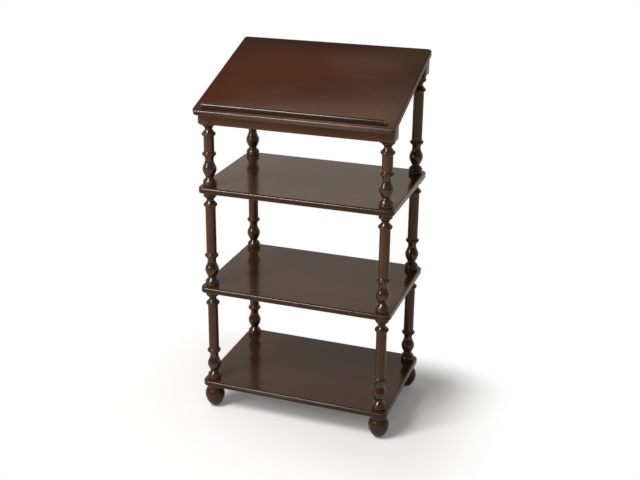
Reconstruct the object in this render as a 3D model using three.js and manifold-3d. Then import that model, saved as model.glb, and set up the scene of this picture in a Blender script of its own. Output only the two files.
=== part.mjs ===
// A tiered atlas stand in dark stained wood: turned spindles carry open shelves and a sloped reading top.
// Millimetres, +Z up. The reader stands on the -Y side. The origin is on the floor, under the stand's middle.
import * as THREE from 'three';
import { mergeVertices } from 'three/addons/utils/BufferGeometryUtils.js';
import Module from 'manifold-3d';

const wasm = await Module();
wasm.setup();
const { lerp } = THREE.MathUtils;

// Clearances
const SEAT_GAP = 0.3;            // between pieces that stand on or butt against each other
const BORE_CLEARANCE = 0.4;      // radial room round a stud, dowel, nail or screw
const BORE_RUNOUT = 1;           // depth of a blind bore past the end of what it holds

// Posts: the axes of the spindles, blocks and feet stand on one rectangle
const POST_SPACING_X = 540;
const POST_SPACING_Y = 336;

// Shelves
const SHELF_THICKNESS = 19;
const SHELF_OVERHANG_X = 30;     // post axis to the nose of the moulding
const SHELF_OVERHANG_Y = 32;
const SHELF_CORNER_RADIUS = 20;

// Moulded edge of the shelves and of the top
const MOULD_REACH = 3;           // the bead stands this far outside the flat field
const QUIRK_DROP = 2.5;          // step down from the flat field
const QUIRK_LEDGE = 0.8;         // flat at the foot of that step
const EDGE_BEAD_HEIGHT = 5;      // half-round bead under the step
const GROOVE_HEIGHT = 1.4;       // sloped side of the groove under the bead
const FACE_INSET = 0.7;          // the upright face lies this far behind the bead's crest
const UNDER_ROUND = 3;           // height of the curve into the underside

// Sloped top
const TOP_TILT = 19.2;           // degrees, the rear edge high
const TOP_THICKNESS = 19;
const TOP_WIDTH = 601;
const TOP_DEPTH = 432;           // along the slope
const TOP_FRONT_REACH = 48.5;    // along the slope, front post axis to the front nose
const TOP_CORNER_RADIUS = 12;

// Book ledge along the low edge of the top
const LEDGE_LENGTH = 546;
const LEDGE_HEIGHT = 16.5;
const LEDGE_DEPTH = 10;
const LEDGE_SETBACK = 8;         // front nose of the top to the front of the ledge
const LEDGE_END_RADIUS = 8;
const LEDGE_ARRIS = 2;

// Blocks and rails under the top
const BLOCK_SIZE = 46;
const BLOCK_CHAMFER = 5;
const FRONT_BLOCK_HEIGHT = 49;   // at the post axis
const RAIL_THICKNESS = 22;
const RAIL_LIFT = 3;             // the rail's lower edge above the blocks' underside
const RAIL_ARRIS = 1.5;

// Turned spindles: foot features are heights above the foot
const SPINDLE_LENGTH = 301;
const FRONT_TOP_DROP = 113.5;    // the two front spindles under the top are this much shorter
const FRONT_TOP_SPINDLE_LENGTH = SPINDLE_LENGTH - FRONT_TOP_DROP;
const SHAFT_RADIUS = 15.7;
const RING_RADIUS = 20.9;
const RING_HALF_HEIGHT = 5;
const NECK_RADIUS = 11.3;
const PLINTH_RADIUS = 20.3;
const PLINTH_HEIGHT = 13;
const LOW_NECK_HEIGHT = 25;
const VASE_RADIUS = 21;
const VASE_HEIGHT = 51;          // height of the widest part
const VASE_NECK_RADIUS = 13;
const VASE_NECK_HEIGHT = 80;
const LOW_RING_HEIGHT = 97.5;
// Head features are depths below the collar of the cup
const CUP_RADIUS = 20.2;
const CUP_COLLAR = 12.5;         // straight collar that meets the shelf above
const FRONT_TOP_COLLAR = 1;      // the short front spindles meet their block almost at the cup
const HIGH_NECK_DEPTH = 13;
const HIGH_RING_DEPTH = 28.3;

// Fullness of the turned curves: how far the middle of a curve lies from its slim end to its wide end
const SHOULDER_FULLNESS = 0.6;
const VASE_FOOT_FULLNESS = 0.5;
const VASE_TOP_FULLNESS = 0.42;
const BELL_FULLNESS = 0.45;
const CUP_FULLNESS = 0.55;

// Bun feet: an egg-shaped ball, slim at the base, under a straight collar
const FOOT_HEIGHT = 77;
const BUN_RADIUS = 31;
const BUN_BELLY_HEIGHT = 41;     // height of the widest part above the base
const BUN_BASE_RADIUS = 11;
const BUN_LOWER_POWER = 1.8;     // 2 is an ellipse below the belly, 1 a cone
const FOOT_COLLAR_RADIUS = 24;
const FOOT_COLLAR_HEIGHT = 18;

// Nail glides under the feet
const GLIDE_RADIUS = 7.5;
const GLIDE_THICKNESS = 2.7;
const GLIDE_EDGE = 1;
const NAIL_RADIUS = 1.5;
const NAIL_LENGTH = 14;

// Fasteners
const STUD_RADIUS = 4;
const STUD_BITE = 22;            // depth of a stud in the piece above or below
const DOWEL_RADIUS = 4;
const DOWEL_BITE = 15;
const SCREW_RADIUS = 2;
const SCREW_HEAD_RADIUS = 4;
const SCREW_HEAD_HEIGHT = 2.5;
const PANEL_SCREW_LENGTH = 38;
const PANEL_SCREW_BITE = 10;     // depth in the top
const PANEL_SCREW_SPACING = 300;
const LEDGE_SCREW_BITE = 12;     // depth in the ledge
const LEDGE_SCREW_SPACING = 200;

// Facets
const TURNED_SIDES = 12;
const BORE_SIDES = 8;
const CORNER_STEPS = 3;
const SHORT_CURVE_STEPS = 2;
const LONG_CURVE_STEPS = 3;
const BEAD_STEPS = 4;
const BUN_LOWER_STEPS = 5;

// Heights of the stack on each post
const tilt = THREE.MathUtils.degToRad(TOP_TILT);
const footBase = GLIDE_THICKNESS + SEAT_GAP;
const lowerShelfBase = footBase + FOOT_HEIGHT + SEAT_GAP;
const tierPitch = SHELF_THICKNESS + SPINDLE_LENGTH + 2 * SEAT_GAP;
const shelfBases = [0, 1, 2].map((tier) => lowerShelfBase + tier * tierPitch);
const upperSpindleBase = shelfBases[2] + SHELF_THICKNESS + SEAT_GAP;
const frontBlockBase = upperSpindleBase + FRONT_TOP_SPINDLE_LENGTH + SEAT_GAP;
const rearBlockBase = upperSpindleBase + SPINDLE_LENGTH + SEAT_GAP;
const frontSeat = frontBlockBase + FRONT_BLOCK_HEIGHT;

// Height of the sloped plane that the tops of the blocks and rails are planed to
function seatHeight(y) {
  return frontSeat + (y + POST_SPACING_Y / 2) * Math.tan(tilt);
}

function wood(colour, roughness) {
  return new THREE.MeshStandardMaterial({ color: colour, roughness, metalness: 0 });
}

const finishes = {
  top: wood(0x4a2a22, 0.32),
  shelf: wood(0x43312a, 0.3),
  turned: wood(0x35231b, 0.34),
  rail: wood(0x402620, 0.36),
  dowel: wood(0xc8a878, 0.7),
  steel: new THREE.MeshStandardMaterial({ color: 0x9a9a98, roughness: 0.4, metalness: 1 }),
  glide: new THREE.MeshStandardMaterial({ color: 0x2b2623, roughness: 0.6, metalness: 0 }),
};

// Position-only mesh with shared corners and no collapsed triangles
function welded(geometry) {
  const bare = new THREE.BufferGeometry();
  bare.setAttribute('position', geometry.getAttribute('position').clone());
  bare.setIndex(geometry.index);
  const merged = mergeVertices(bare);
  const corners = merged.index.array;
  const kept = [];
  for (let i = 0; i < corners.length; i += 3) {
    const [a, b, c] = corners.slice(i, i + 3);
    if (a !== b && b !== c && c !== a) kept.push(a, b, c);
  }
  merged.setIndex(kept);
  return merged;
}

function solid(geometry) {
  const body = welded(geometry);
  const vertProperties = new Float32Array(body.getAttribute('position').array);
  const triVerts = new Uint32Array(body.index.array);
  return new wasm.Manifold(new wasm.Mesh({ numProp: 3, vertProperties, triVerts }));
}

// A geometry with each of the tools cut out of it
function bored(geometry, tools) {
  const cut = tools.reduce((work, tool) => work.subtract(solid(tool)), solid(geometry)).getMesh();
  const result = new THREE.BufferGeometry();
  result.setAttribute('position', new THREE.BufferAttribute(cut.vertProperties, 3));
  result.setIndex(new THREE.BufferAttribute(cut.triVerts, 1));
  return result;
}

// A solid turned about +Z, from [radius, height] pairs that begin and end on the axis
function turned(pairs, sides = TURNED_SIDES) {
  const points = pairs.map(([radius, height]) => new THREE.Vector2(radius, height));
  return welded(new THREE.LatheGeometry(points, sides).rotateX(Math.PI / 2));
}

// A rod or a bore between two heights on +Z
function rod(radius, low, high) {
  return turned([[0, low], [radius, low], [radius, high], [0, high]], BORE_SIDES);
}

// A smooth turned stretch through a few [radius, height] pairs
function sweep(pairs, steps) {
  const knots = pairs.map(([radius, height]) => new THREE.Vector2(radius, height));
  const spline = new THREE.SplineCurve(knots);
  return spline.getPoints(steps).map((point) => [point.x, point.y]);
}

// A half-round bead on a profile, as half an ellipse from its foot over its crest and back
function bead(foot, crest, height, halfHeight) {
  return Array.from({ length: BEAD_STEPS + 1 }, (_, i) => {
    const angle = Math.PI * (i / BEAD_STEPS - 0.5);
    return [foot + (crest - foot) * Math.cos(angle), height + halfHeight * Math.sin(angle)];
  });
}

// A closed skin over rings of equal length, from the lowest to the highest
function loft(rings) {
  const count = rings[0].length;
  const top = (rings.length - 1) * count;
  const faces = [];
  for (let level = 0; level < top; level += count) {
    for (let i = 0; i < count; i += 1) {
      const next = (i + 1) % count;
      faces.push(level + i, level + next, level + count + next);
      faces.push(level + i, level + count + next, level + count + i);
    }
  }
  for (let i = 1; i + 1 < count; i += 1) {
    faces.push(0, i + 1, i, top, top + i, top + i + 1);
  }
  const skin = new THREE.BufferGeometry().setFromPoints(rings.flat());
  skin.setIndex(faces);
  return skin;
}

// A rectangle with rounded corners, counter-clockwise
function roundedRing(halfX, halfY, radius, z) {
  const corners = [[1, 1], [-1, 1], [-1, -1], [1, -1]];
  return corners.flatMap(([signX, signY], quarter) => (
    Array.from({ length: CORNER_STEPS + 1 }, (_, i) => {
      const angle = (quarter + i / CORNER_STEPS) * Math.PI / 2;
      const x = signX * (halfX - radius) + radius * Math.cos(angle);
      const y = signY * (halfY - radius) + radius * Math.sin(angle);
      return new THREE.Vector3(x, y, z);
    })
  ));
}

// Moulded edge as [inset, height] pairs: rolled underside, face, groove, bead, quirk and field
function edgeMoulding(thickness) {
  const ledge = thickness - QUIRK_DROP;
  const beadFoot = MOULD_REACH - QUIRK_LEDGE;
  const groove = ledge - EDGE_BEAD_HEIGHT;
  const under = [0, 0.5, 1].map((share) => share * Math.PI / 2).map((angle) => [
    FACE_INSET + UNDER_ROUND * (1 - Math.sin(angle)),
    UNDER_ROUND * (1 - Math.cos(angle)),
  ]);
  return [
    ...under,
    [FACE_INSET, groove - GROOVE_HEIGHT],
    ...bead(beadFoot, 0, groove + EDGE_BEAD_HEIGHT / 2, EDGE_BEAD_HEIGHT / 2),
    [MOULD_REACH, ledge],
    [MOULD_REACH, thickness],
  ];
}

// A board with the moulded edge, centred on the origin with its underside at zero
function mouldedBoard(width, depth, thickness, cornerRadius) {
  return loft(edgeMoulding(thickness).map(([inset, height]) => (
    roundedRing(width / 2 - inset, depth / 2 - inset, cornerRadius - inset, height)
  )));
}

// Blind bore for a stud, in a spindle, foot or block
const studBore = { radius: STUD_RADIUS + BORE_CLEARANCE, depth: STUD_BITE + BORE_RUNOUT };

// A curve from one [radius, height] pair to another, with a named fullness at half its height
function turnedCurve(from, to, fullness, steps) {
  const slim = Math.min(from[0], to[0]);
  const wide = Math.max(from[0], to[0]);
  const middle = [lerp(slim, wide, fullness), lerp(from[1], to[1], 0.5)];
  return sweep([from, middle, to], steps);
}

// Profile of a spindle with a blind stud bore at each end
function spindle(length, collar) {
  const cupEdge = length - collar;
  const plinthTop = [PLINTH_RADIUS, PLINTH_HEIGHT];
  const lowNeck = [NECK_RADIUS, LOW_NECK_HEIGHT];
  const vaseBelly = [VASE_RADIUS, VASE_HEIGHT];
  const vaseNeck = [VASE_NECK_RADIUS, VASE_NECK_HEIGHT];
  const highRingHeight = cupEdge - HIGH_RING_DEPTH;
  const bellFoot = [SHAFT_RADIUS, highRingHeight + RING_HALF_HEIGHT];
  const highNeck = [NECK_RADIUS, cupEdge - HIGH_NECK_DEPTH];
  const cupRim = [CUP_RADIUS, cupEdge];
  return turned([
    [0, studBore.depth],
    [studBore.radius, studBore.depth],
    [studBore.radius, 0],
    [PLINTH_RADIUS, 0],
    ...turnedCurve(plinthTop, lowNeck, SHOULDER_FULLNESS, SHORT_CURVE_STEPS),
    ...turnedCurve(lowNeck, vaseBelly, VASE_FOOT_FULLNESS, LONG_CURVE_STEPS).slice(1),
    ...turnedCurve(vaseBelly, vaseNeck, VASE_TOP_FULLNESS, LONG_CURVE_STEPS).slice(1),
    ...bead(SHAFT_RADIUS, RING_RADIUS, LOW_RING_HEIGHT, RING_HALF_HEIGHT),
    ...bead(SHAFT_RADIUS, RING_RADIUS, highRingHeight, RING_HALF_HEIGHT),
    ...turnedCurve(bellFoot, highNeck, BELL_FULLNESS, SHORT_CURVE_STEPS).slice(1),
    ...turnedCurve(highNeck, cupRim, CUP_FULLNESS, LONG_CURVE_STEPS).slice(1),
    [CUP_RADIUS, length],
    [studBore.radius, length],
    [studBore.radius, length - studBore.depth],
    [0, length - studBore.depth],
  ]);
}

// The ball of a foot from its base up to its belly, as [radius, height] pairs
function bunBelow() {
  const superRadius = (share) => (1 - share ** BUN_LOWER_POWER) ** (1 / BUN_LOWER_POWER);
  const reach = superRadius(BUN_BASE_RADIUS / BUN_RADIUS);
  return Array.from({ length: BUN_LOWER_STEPS + 1 }, (_, i) => {
    const climbed = i / BUN_LOWER_STEPS;
    return [BUN_RADIUS * superRadius(reach * (1 - climbed)), BUN_BELLY_HEIGHT * climbed];
  });
}

// The ball from above its belly up to its collar, as part of an ellipse
function bunAbove() {
  const collarBase = FOOT_HEIGHT - FOOT_COLLAR_HEIGHT;
  const sweepAngle = Math.acos(FOOT_COLLAR_RADIUS / BUN_RADIUS);
  return Array.from({ length: SHORT_CURVE_STEPS }, (_, i) => {
    const angle = sweepAngle * (i + 1) / SHORT_CURVE_STEPS;
    const climbed = Math.sin(angle) / Math.sin(sweepAngle);
    return [BUN_RADIUS * Math.cos(angle), lerp(BUN_BELLY_HEIGHT, collarBase, climbed)];
  });
}

// Bun foot: a nail bore below, the ball, a straight collar and a stud bore above
function foot() {
  const nailBoreRadius = NAIL_RADIUS + BORE_CLEARANCE;
  const nailBoreDepth = NAIL_LENGTH - SEAT_GAP + BORE_RUNOUT;
  return turned([
    [0, nailBoreDepth],
    [nailBoreRadius, nailBoreDepth],
    [nailBoreRadius, 0],
    ...bunBelow(),
    ...bunAbove(),
    [FOOT_COLLAR_RADIUS, FOOT_HEIGHT],
    [studBore.radius, FOOT_HEIGHT],
    [studBore.radius, FOOT_HEIGHT - studBore.depth],
    [0, FOOT_HEIGHT - studBore.depth],
  ]);
}

// Disc with a rolled lower edge and a nail that stands up into the foot
function glide() {
  return turned([
    [0, 0],
    [GLIDE_RADIUS - GLIDE_EDGE, 0],
    [GLIDE_RADIUS, GLIDE_EDGE],
    [GLIDE_RADIUS, GLIDE_THICKNESS],
    [NAIL_RADIUS, GLIDE_THICKNESS],
    [NAIL_RADIUS, GLIDE_THICKNESS + NAIL_LENGTH],
    [0, GLIDE_THICKNESS + NAIL_LENGTH],
  ], BORE_SIDES);
}

// Wood screw with its head down, from the underside of the head
function screw(length) {
  return turned([
    [0, 0],
    [SCREW_HEAD_RADIUS, 0],
    [SCREW_HEAD_RADIUS, SCREW_HEAD_HEIGHT],
    [SCREW_RADIUS, SCREW_HEAD_HEIGHT],
    [SCREW_RADIUS, length - 2 * SCREW_RADIUS],
    [0, length],
  ], BORE_SIDES);
}

// Bores for a screw that is pushed up from a height: a wide bore for the head, a slim one for the shank
function screwBores(entry, headSeat, end) {
  return [
    rod(SCREW_HEAD_RADIUS + BORE_CLEARANCE, entry - BORE_RUNOUT, headSeat),
    rod(SCREW_RADIUS + BORE_CLEARANCE, headSeat - BORE_RUNOUT, end),
  ];
}

const posts = [
  { name: 'front_left', x: -POST_SPACING_X / 2, y: -POST_SPACING_Y / 2 },
  { name: 'front_right', x: POST_SPACING_X / 2, y: -POST_SPACING_Y / 2 },
  { name: 'rear_left', x: -POST_SPACING_X / 2, y: POST_SPACING_Y / 2 },
  { name: 'rear_right', x: POST_SPACING_X / 2, y: POST_SPACING_Y / 2 },
].map((post) => {
  const isFront = post.y < 0;
  return {
    ...post,
    upperLength: isFront ? FRONT_TOP_SPINDLE_LENGTH : SPINDLE_LENGTH,
    upperCollar: isFront ? FRONT_TOP_COLLAR : CUP_COLLAR,
    blockBase: isFront ? frontBlockBase : rearBlockBase,
  };
});

// The two rails stand flush with the outer faces of the blocks
const rails = [
  { name: 'front', side: -1, blockBase: frontBlockBase },
  { name: 'rear', side: 1, blockBase: rearBlockBase },
].map((rail) => {
  const outerFace = rail.side * (POST_SPACING_Y + BLOCK_SIZE) / 2;
  const y = outerFace - rail.side * RAIL_THICKNESS / 2;
  const base = rail.blockBase + RAIL_LIFT;
  return { ...rail, outerFace, y, base, dowelHeight: lerp(base, seatHeight(y), 0.5) };
});

const blockInnerX = (POST_SPACING_X - BLOCK_SIZE) / 2;
const railHalfLength = blockInnerX - SEAT_GAP;

// Corner block with chamfered lower edges, a planed top, a stud bore below and a dowel bore on its inner face
function block(post) {
  const half = BLOCK_SIZE / 2;
  const corners = [[1, 1], [-1, 1], [-1, -1], [1, -1]];
  const ring = (reach, heightAt) => corners.map(([signX, signY]) => {
    const y = post.y + signY * reach;
    return new THREE.Vector3(post.x + signX * reach, y, heightAt(y));
  });
  const body = loft([
    ring(half - BLOCK_CHAMFER, () => post.blockBase),
    ring(half, () => post.blockBase + BLOCK_CHAMFER),
    ring(half, seatHeight),
  ]);
  const bore = rod(studBore.radius, -BORE_RUNOUT, studBore.depth);
  bore.translate(post.x, post.y, post.blockBase);
  const rail = rails.find(({ side }) => side === Math.sign(post.y));
  return bored(body, [bore, dowelBore(rail, Math.sign(post.x))]);
}

// Dowel across the joint of a rail and a block, grown by a clearance for its bore
function dowelRod(rail, sideX, radius, halfLength) {
  const middle = sideX * (railHalfLength + SEAT_GAP / 2);
  const pin = rod(radius, -halfLength, halfLength).rotateY(Math.PI / 2);
  return pin.translate(middle, rail.y, rail.dowelHeight);
}

function dowelBore(rail, sideX) {
  return dowelRod(rail, sideX, DOWEL_RADIUS + BORE_CLEARANCE, DOWEL_BITE + BORE_RUNOUT);
}

function dowel(rail, sideX) {
  return dowelRod(rail, sideX, DOWEL_RADIUS, DOWEL_BITE);
}

// A panel screw stands upright in its rail and bites into the top
function panelScrewHeights(rail) {
  const tip = seatHeight(rail.y) + PANEL_SCREW_BITE;
  const head = tip - PANEL_SCREW_LENGTH;
  return { tip, head, headSeat: head + SCREW_HEAD_HEIGHT + SEAT_GAP, end: tip + BORE_RUNOUT };
}

const panelScrewPlaces = rails.flatMap((rail) => [-1, 1].map((sideX) => ({
  name: `${rail.name}_${sideX < 0 ? 'left' : 'right'}`,
  rail,
  x: sideX * PANEL_SCREW_SPACING / 2,
})));

function panelScrewBores({ rail, x }) {
  const { headSeat, end } = panelScrewHeights(rail);
  return screwBores(rail.base, headSeat, end).map((tool) => tool.translate(x, rail.y, 0));
}

// Rail with a planed top and an eased lower outer edge, bored for its dowels and for the panel screws
function railBoard(rail) {
  const innerFace = rail.outerFace - rail.side * RAIL_THICKNESS;
  const outline = new THREE.Shape([
    new THREE.Vector2(innerFace, rail.base),
    new THREE.Vector2(rail.outerFace - rail.side * RAIL_ARRIS, rail.base),
    new THREE.Vector2(rail.outerFace, rail.base + RAIL_ARRIS),
    new THREE.Vector2(rail.outerFace, seatHeight(rail.outerFace)),
    new THREE.Vector2(innerFace, seatHeight(innerFace)),
  ]);
  const body = new THREE.ExtrudeGeometry(outline, { depth: 2 * railHalfLength, bevelEnabled: false });
  // Turn the outline's plane from XY to YZ, so that the extrusion runs along X
  body.rotateX(Math.PI / 2).rotateZ(Math.PI / 2).translate(-railHalfLength, 0, 0);
  const screwTools = panelScrewPlaces.filter((place) => place.rail === rail).flatMap(panelScrewBores);
  return bored(body, [dowelBore(rail, -1), dowelBore(rail, 1), ...screwTools]);
}

// Shelf with a through bore for the stud of each post
function shelf() {
  const width = POST_SPACING_X + 2 * SHELF_OVERHANG_X;
  const depth = POST_SPACING_Y + 2 * SHELF_OVERHANG_Y;
  const board = mouldedBoard(width, depth, SHELF_THICKNESS, SHELF_CORNER_RADIUS);
  return bored(board, posts.map(({ x, y }) => (
    rod(studBore.radius, -BORE_RUNOUT, SHELF_THICKNESS + BORE_RUNOUT).translate(x, y, 0)
  )));
}

// The slope's own frame: its origin is on the planed seat at the front posts, +Y runs up the slope
const slope = new THREE.Group();
slope.rotation.x = tilt;
slope.position.set(0, -POST_SPACING_Y / 2, frontSeat);
slope.updateMatrixWorld(true);
const topBase = SEAT_GAP;
const ledgeFront = LEDGE_SETBACK - TOP_FRONT_REACH;
const ledgeMiddle = ledgeFront + LEDGE_DEPTH / 2;
const ledgeBase = topBase + TOP_THICKNESS + SEAT_GAP;
const ledgeScrewTip = ledgeBase + LEDGE_SCREW_BITE;
const ledgeScrewPlaces = ['left', 'middle', 'right'].map((name, i) => (
  { name, x: (i - 1) * LEDGE_SCREW_SPACING }
));

// Sloped top, in the slope's frame, bored from below for the ledge screws and the panel screws
function topPanel() {
  const board = mouldedBoard(TOP_WIDTH, TOP_DEPTH, TOP_THICKNESS, TOP_CORNER_RADIUS);
  board.translate(0, TOP_DEPTH / 2 - TOP_FRONT_REACH, topBase);
  const intoSlope = slope.matrixWorld.clone().invert();
  const uprightTools = panelScrewPlaces.flatMap(panelScrewBores);
  const panelTools = uprightTools.map((tool) => tool.applyMatrix4(intoSlope));
  const headSeat = topBase + SCREW_HEAD_HEIGHT + SEAT_GAP;
  const ledgeTools = ledgeScrewPlaces.flatMap(({ x }) => (
    screwBores(topBase, headSeat, ledgeBase).map((tool) => tool.translate(x, ledgeMiddle, 0))
  ));
  return bored(board, [...panelTools, ...ledgeTools]);
}

// Book ledge: a strip on edge with rounded upper ends and eased edges, bored from below
function bookLedge() {
  const half = LEDGE_LENGTH / 2;
  const outline = new THREE.Shape();
  outline.moveTo(-half, 0);
  outline.lineTo(half, 0);
  const arcX = half - LEDGE_END_RADIUS;
  const arcHeight = LEDGE_HEIGHT - LEDGE_END_RADIUS;
  outline.absarc(arcX, arcHeight, LEDGE_END_RADIUS, 0, Math.PI / 2);
  outline.absarc(-arcX, arcHeight, LEDGE_END_RADIUS, Math.PI / 2, Math.PI);
  const body = new THREE.ExtrudeGeometry(outline, {
    depth: LEDGE_DEPTH - 2 * LEDGE_ARRIS,
    bevelThickness: LEDGE_ARRIS,
    bevelSize: LEDGE_ARRIS,
    bevelOffset: -LEDGE_ARRIS,
    bevelSegments: 2,
    curveSegments: CORNER_STEPS,
  });
  body.translate(0, 0, LEDGE_ARRIS - LEDGE_DEPTH).rotateX(Math.PI / 2);
  body.translate(0, ledgeFront, ledgeBase);
  const tools = ledgeScrewPlaces.map(({ x }) => (
    rod(SCREW_RADIUS + BORE_CLEARANCE, ledgeBase - BORE_RUNOUT, ledgeScrewTip + BORE_RUNOUT)
      .translate(x, ledgeMiddle, 0)
  ));
  return bored(body, tools);
}

const stand = new THREE.Group();

// Adds a named piece with its own copy of a finish
function place(parent, name, geometry, finish, x = 0, y = 0, z = 0) {
  const piece = new THREE.Mesh(geometry, finish.clone());
  piece.name = name;
  piece.position.set(x, y, z);
  parent.add(piece);
}

const tiers = ['lower', 'middle', 'upper'];
tiers.forEach((tier, i) => place(stand, `${tier}_shelf`, shelf(), finishes.shelf, 0, 0, shelfBases[i]));

// Everything that stands on one post, from the floor up
for (const post of posts) {
  place(stand, `glide_${post.name}`, glide(), finishes.glide, post.x, post.y, 0);
  place(stand, `foot_${post.name}`, foot(), finishes.turned, post.x, post.y, footBase);
  tiers.forEach((tier, i) => {
    const isUpper = tier === 'upper';
    const length = isUpper ? post.upperLength : SPINDLE_LENGTH;
    const collar = isUpper ? post.upperCollar : CUP_COLLAR;
    const base = shelfBases[i] + SHELF_THICKNESS + SEAT_GAP;
    const studLow = shelfBases[i] - SEAT_GAP - STUD_BITE;
    const studHigh = base + STUD_BITE;
    const stud = rod(STUD_RADIUS, studLow, studHigh);
    const turning = spindle(length, collar);
    place(stand, `spindle_${tier}_${post.name}`, turning, finishes.turned, post.x, post.y, base);
    place(stand, `stud_${tier}_${post.name}`, stud, finishes.steel, post.x, post.y);
  });
  const topStudLow = post.blockBase - SEAT_GAP - STUD_BITE;
  const studTop = rod(STUD_RADIUS, topStudLow, post.blockBase + STUD_BITE);
  place(stand, `stud_top_${post.name}`, studTop, finishes.steel, post.x, post.y);
  place(stand, `block_${post.name}`, block(post), finishes.rail);
}

for (const rail of rails) {
  place(stand, `${rail.name}_rail`, railBoard(rail), finishes.rail);
  place(stand, `rail_dowel_${rail.name}_left`, dowel(rail, -1), finishes.dowel);
  place(stand, `rail_dowel_${rail.name}_right`, dowel(rail, 1), finishes.dowel);
}

for (const { name, rail, x } of panelScrewPlaces) {
  const { head } = panelScrewHeights(rail);
  place(stand, `panel_screw_${name}`, screw(PANEL_SCREW_LENGTH), finishes.steel, x, rail.y, head);
}

place(slope, 'top_panel', topPanel(), finishes.top);
place(slope, 'book_ledge', bookLedge(), finishes.top);
const ledgeScrew = screw(ledgeScrewTip - topBase);
for (const { name, x } of ledgeScrewPlaces) {
  place(slope, `ledge_screw_${name}`, ledgeScrew, finishes.steel, x, ledgeMiddle, topBase);
}
stand.add(slope);

// Put the origin on the floor, under the middle of the whole outline
stand.updateMatrixWorld(true);
const outline = new THREE.Box3().setFromObject(stand, true);
const middle = outline.getCenter(new THREE.Vector3());
stand.position.set(-middle.x, -middle.y, -outline.min.z);

export default stand;
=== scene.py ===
"""Atlas stand in dark stained wood: turned spindles carry three moulded shelves and a sloped reading top."""
import logging
import math
from dataclasses import dataclass
from enum import Enum
from typing import Any, ClassVar, Optional, Sequence, Union

import bmesh
import bpy
from mathutils import Matrix, Vector


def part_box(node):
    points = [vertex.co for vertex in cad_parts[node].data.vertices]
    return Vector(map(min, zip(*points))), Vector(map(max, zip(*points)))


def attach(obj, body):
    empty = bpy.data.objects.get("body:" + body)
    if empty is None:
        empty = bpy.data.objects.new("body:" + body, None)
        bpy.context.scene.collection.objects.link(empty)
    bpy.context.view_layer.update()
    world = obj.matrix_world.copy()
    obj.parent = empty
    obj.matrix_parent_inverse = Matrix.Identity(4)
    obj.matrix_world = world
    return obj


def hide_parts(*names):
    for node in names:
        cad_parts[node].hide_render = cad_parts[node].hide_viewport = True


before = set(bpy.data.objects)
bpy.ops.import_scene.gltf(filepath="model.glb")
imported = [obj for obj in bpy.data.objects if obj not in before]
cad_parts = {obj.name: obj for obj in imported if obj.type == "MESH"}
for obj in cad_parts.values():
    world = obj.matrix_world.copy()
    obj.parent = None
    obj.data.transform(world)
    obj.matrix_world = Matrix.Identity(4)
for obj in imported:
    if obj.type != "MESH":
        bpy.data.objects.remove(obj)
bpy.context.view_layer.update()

LOG = logging.getLogger("atlas_stand")
MM = 0.001                      # a millimetre in metres
QUARTER = math.pi / 2           # a quarter turn
BODY = "root"                   # the stand's one body
RELIEF = "relief"               # attribute: 1 on rubbed crests, -1 in hollows with stain and painted shade
TOP_TILT = math.radians(19.2)   # slope of the reading top
CREASE = 34.0                   # edges that turn more than this many degrees stay sharp
POSTS = ("front_left", "front_right", "rear_left", "rear_right")
TIERS = ("lower", "middle", "upper")

Triple = tuple[float, float, float]
Colour = Triple
Pair = tuple[float, float]
Pairs = tuple[Pair, ...]
Triples = tuple[Triple, ...]
Ring = list[bmesh.types.BMVert]
Key = Union[int, str]
Value = Union["Sock", float]


class Sock:
    """A node's output socket that takes part in Python expressions."""

    def __init__(self, net: "Net", socket: bpy.types.NodeSocket) -> None:
        """Keeps the socket and the net that new nodes go to."""
        self.net = net
        self.socket = socket

    def out(self, key: Key) -> "Sock":
        """Another output of the same node."""
        return Sock(self.net, self.socket.node.outputs[key])

    def _math(self, operation: str, first: Value, second: Value = 0.0) -> "Sock":
        """A Math node on two values."""
        return self.net.add("ShaderNodeMath", {"operation": operation}, {0: first, 1: second})

    def __add__(self, other: Value) -> "Sock":
        """self + other."""
        return self._math("ADD", self, other)

    def __radd__(self, other: Value) -> "Sock":
        """other + self."""
        return self._math("ADD", other, self)

    def __sub__(self, other: Value) -> "Sock":
        """self - other."""
        return self._math("SUBTRACT", self, other)

    def __rsub__(self, other: Value) -> "Sock":
        """other - self."""
        return self._math("SUBTRACT", other, self)

    def __mul__(self, other: Value) -> "Sock":
        """self * other."""
        return self._math("MULTIPLY", self, other)

    def __rmul__(self, other: Value) -> "Sock":
        """other * self."""
        return self._math("MULTIPLY", other, self)

    def __truediv__(self, other: Value) -> "Sock":
        """self / other."""
        return self._math("DIVIDE", self, other)

    def __rtruediv__(self, other: Value) -> "Sock":
        """other / self."""
        return self._math("DIVIDE", other, self)

    def __mod__(self, other: Value) -> "Sock":
        """self % other."""
        return self._math("MODULO", self, other)

    def __rmod__(self, other: Value) -> "Sock":
        """other % self."""
        return self._math("MODULO", other, self)

    def __pow__(self, other: Value) -> "Sock":
        """self ** other."""
        return self._math("POWER", self, other)

    def __rpow__(self, other: Value) -> "Sock":
        """other ** self."""
        return self._math("POWER", other, self)

    def sine(self) -> "Sock":
        """Sine of the value."""
        return self._math("SINE", self)

    def cosine(self) -> "Sock":
        """Cosine of the value."""
        return self._math("COSINE", self)

    def floor(self) -> "Sock":
        """The whole number below the value."""
        return self._math("FLOOR", self)

    def at_most(self, other: Value) -> "Sock":
        """The smaller of two values."""
        return self._math("MINIMUM", self, other)

    def at_least(self, other: Value) -> "Sock":
        """The larger of two values."""
        return self._math("MAXIMUM", self, other)

    def ramp(self, low: float, high: float) -> "Sock":
        """A smooth step from 0 at low to 1 at high."""
        limits = {"Value": self, "From Min": low, "From Max": high}
        return self.net.add("ShaderNodeMapRange", {"interpolation_type": "SMOOTHSTEP"}, limits)


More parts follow.
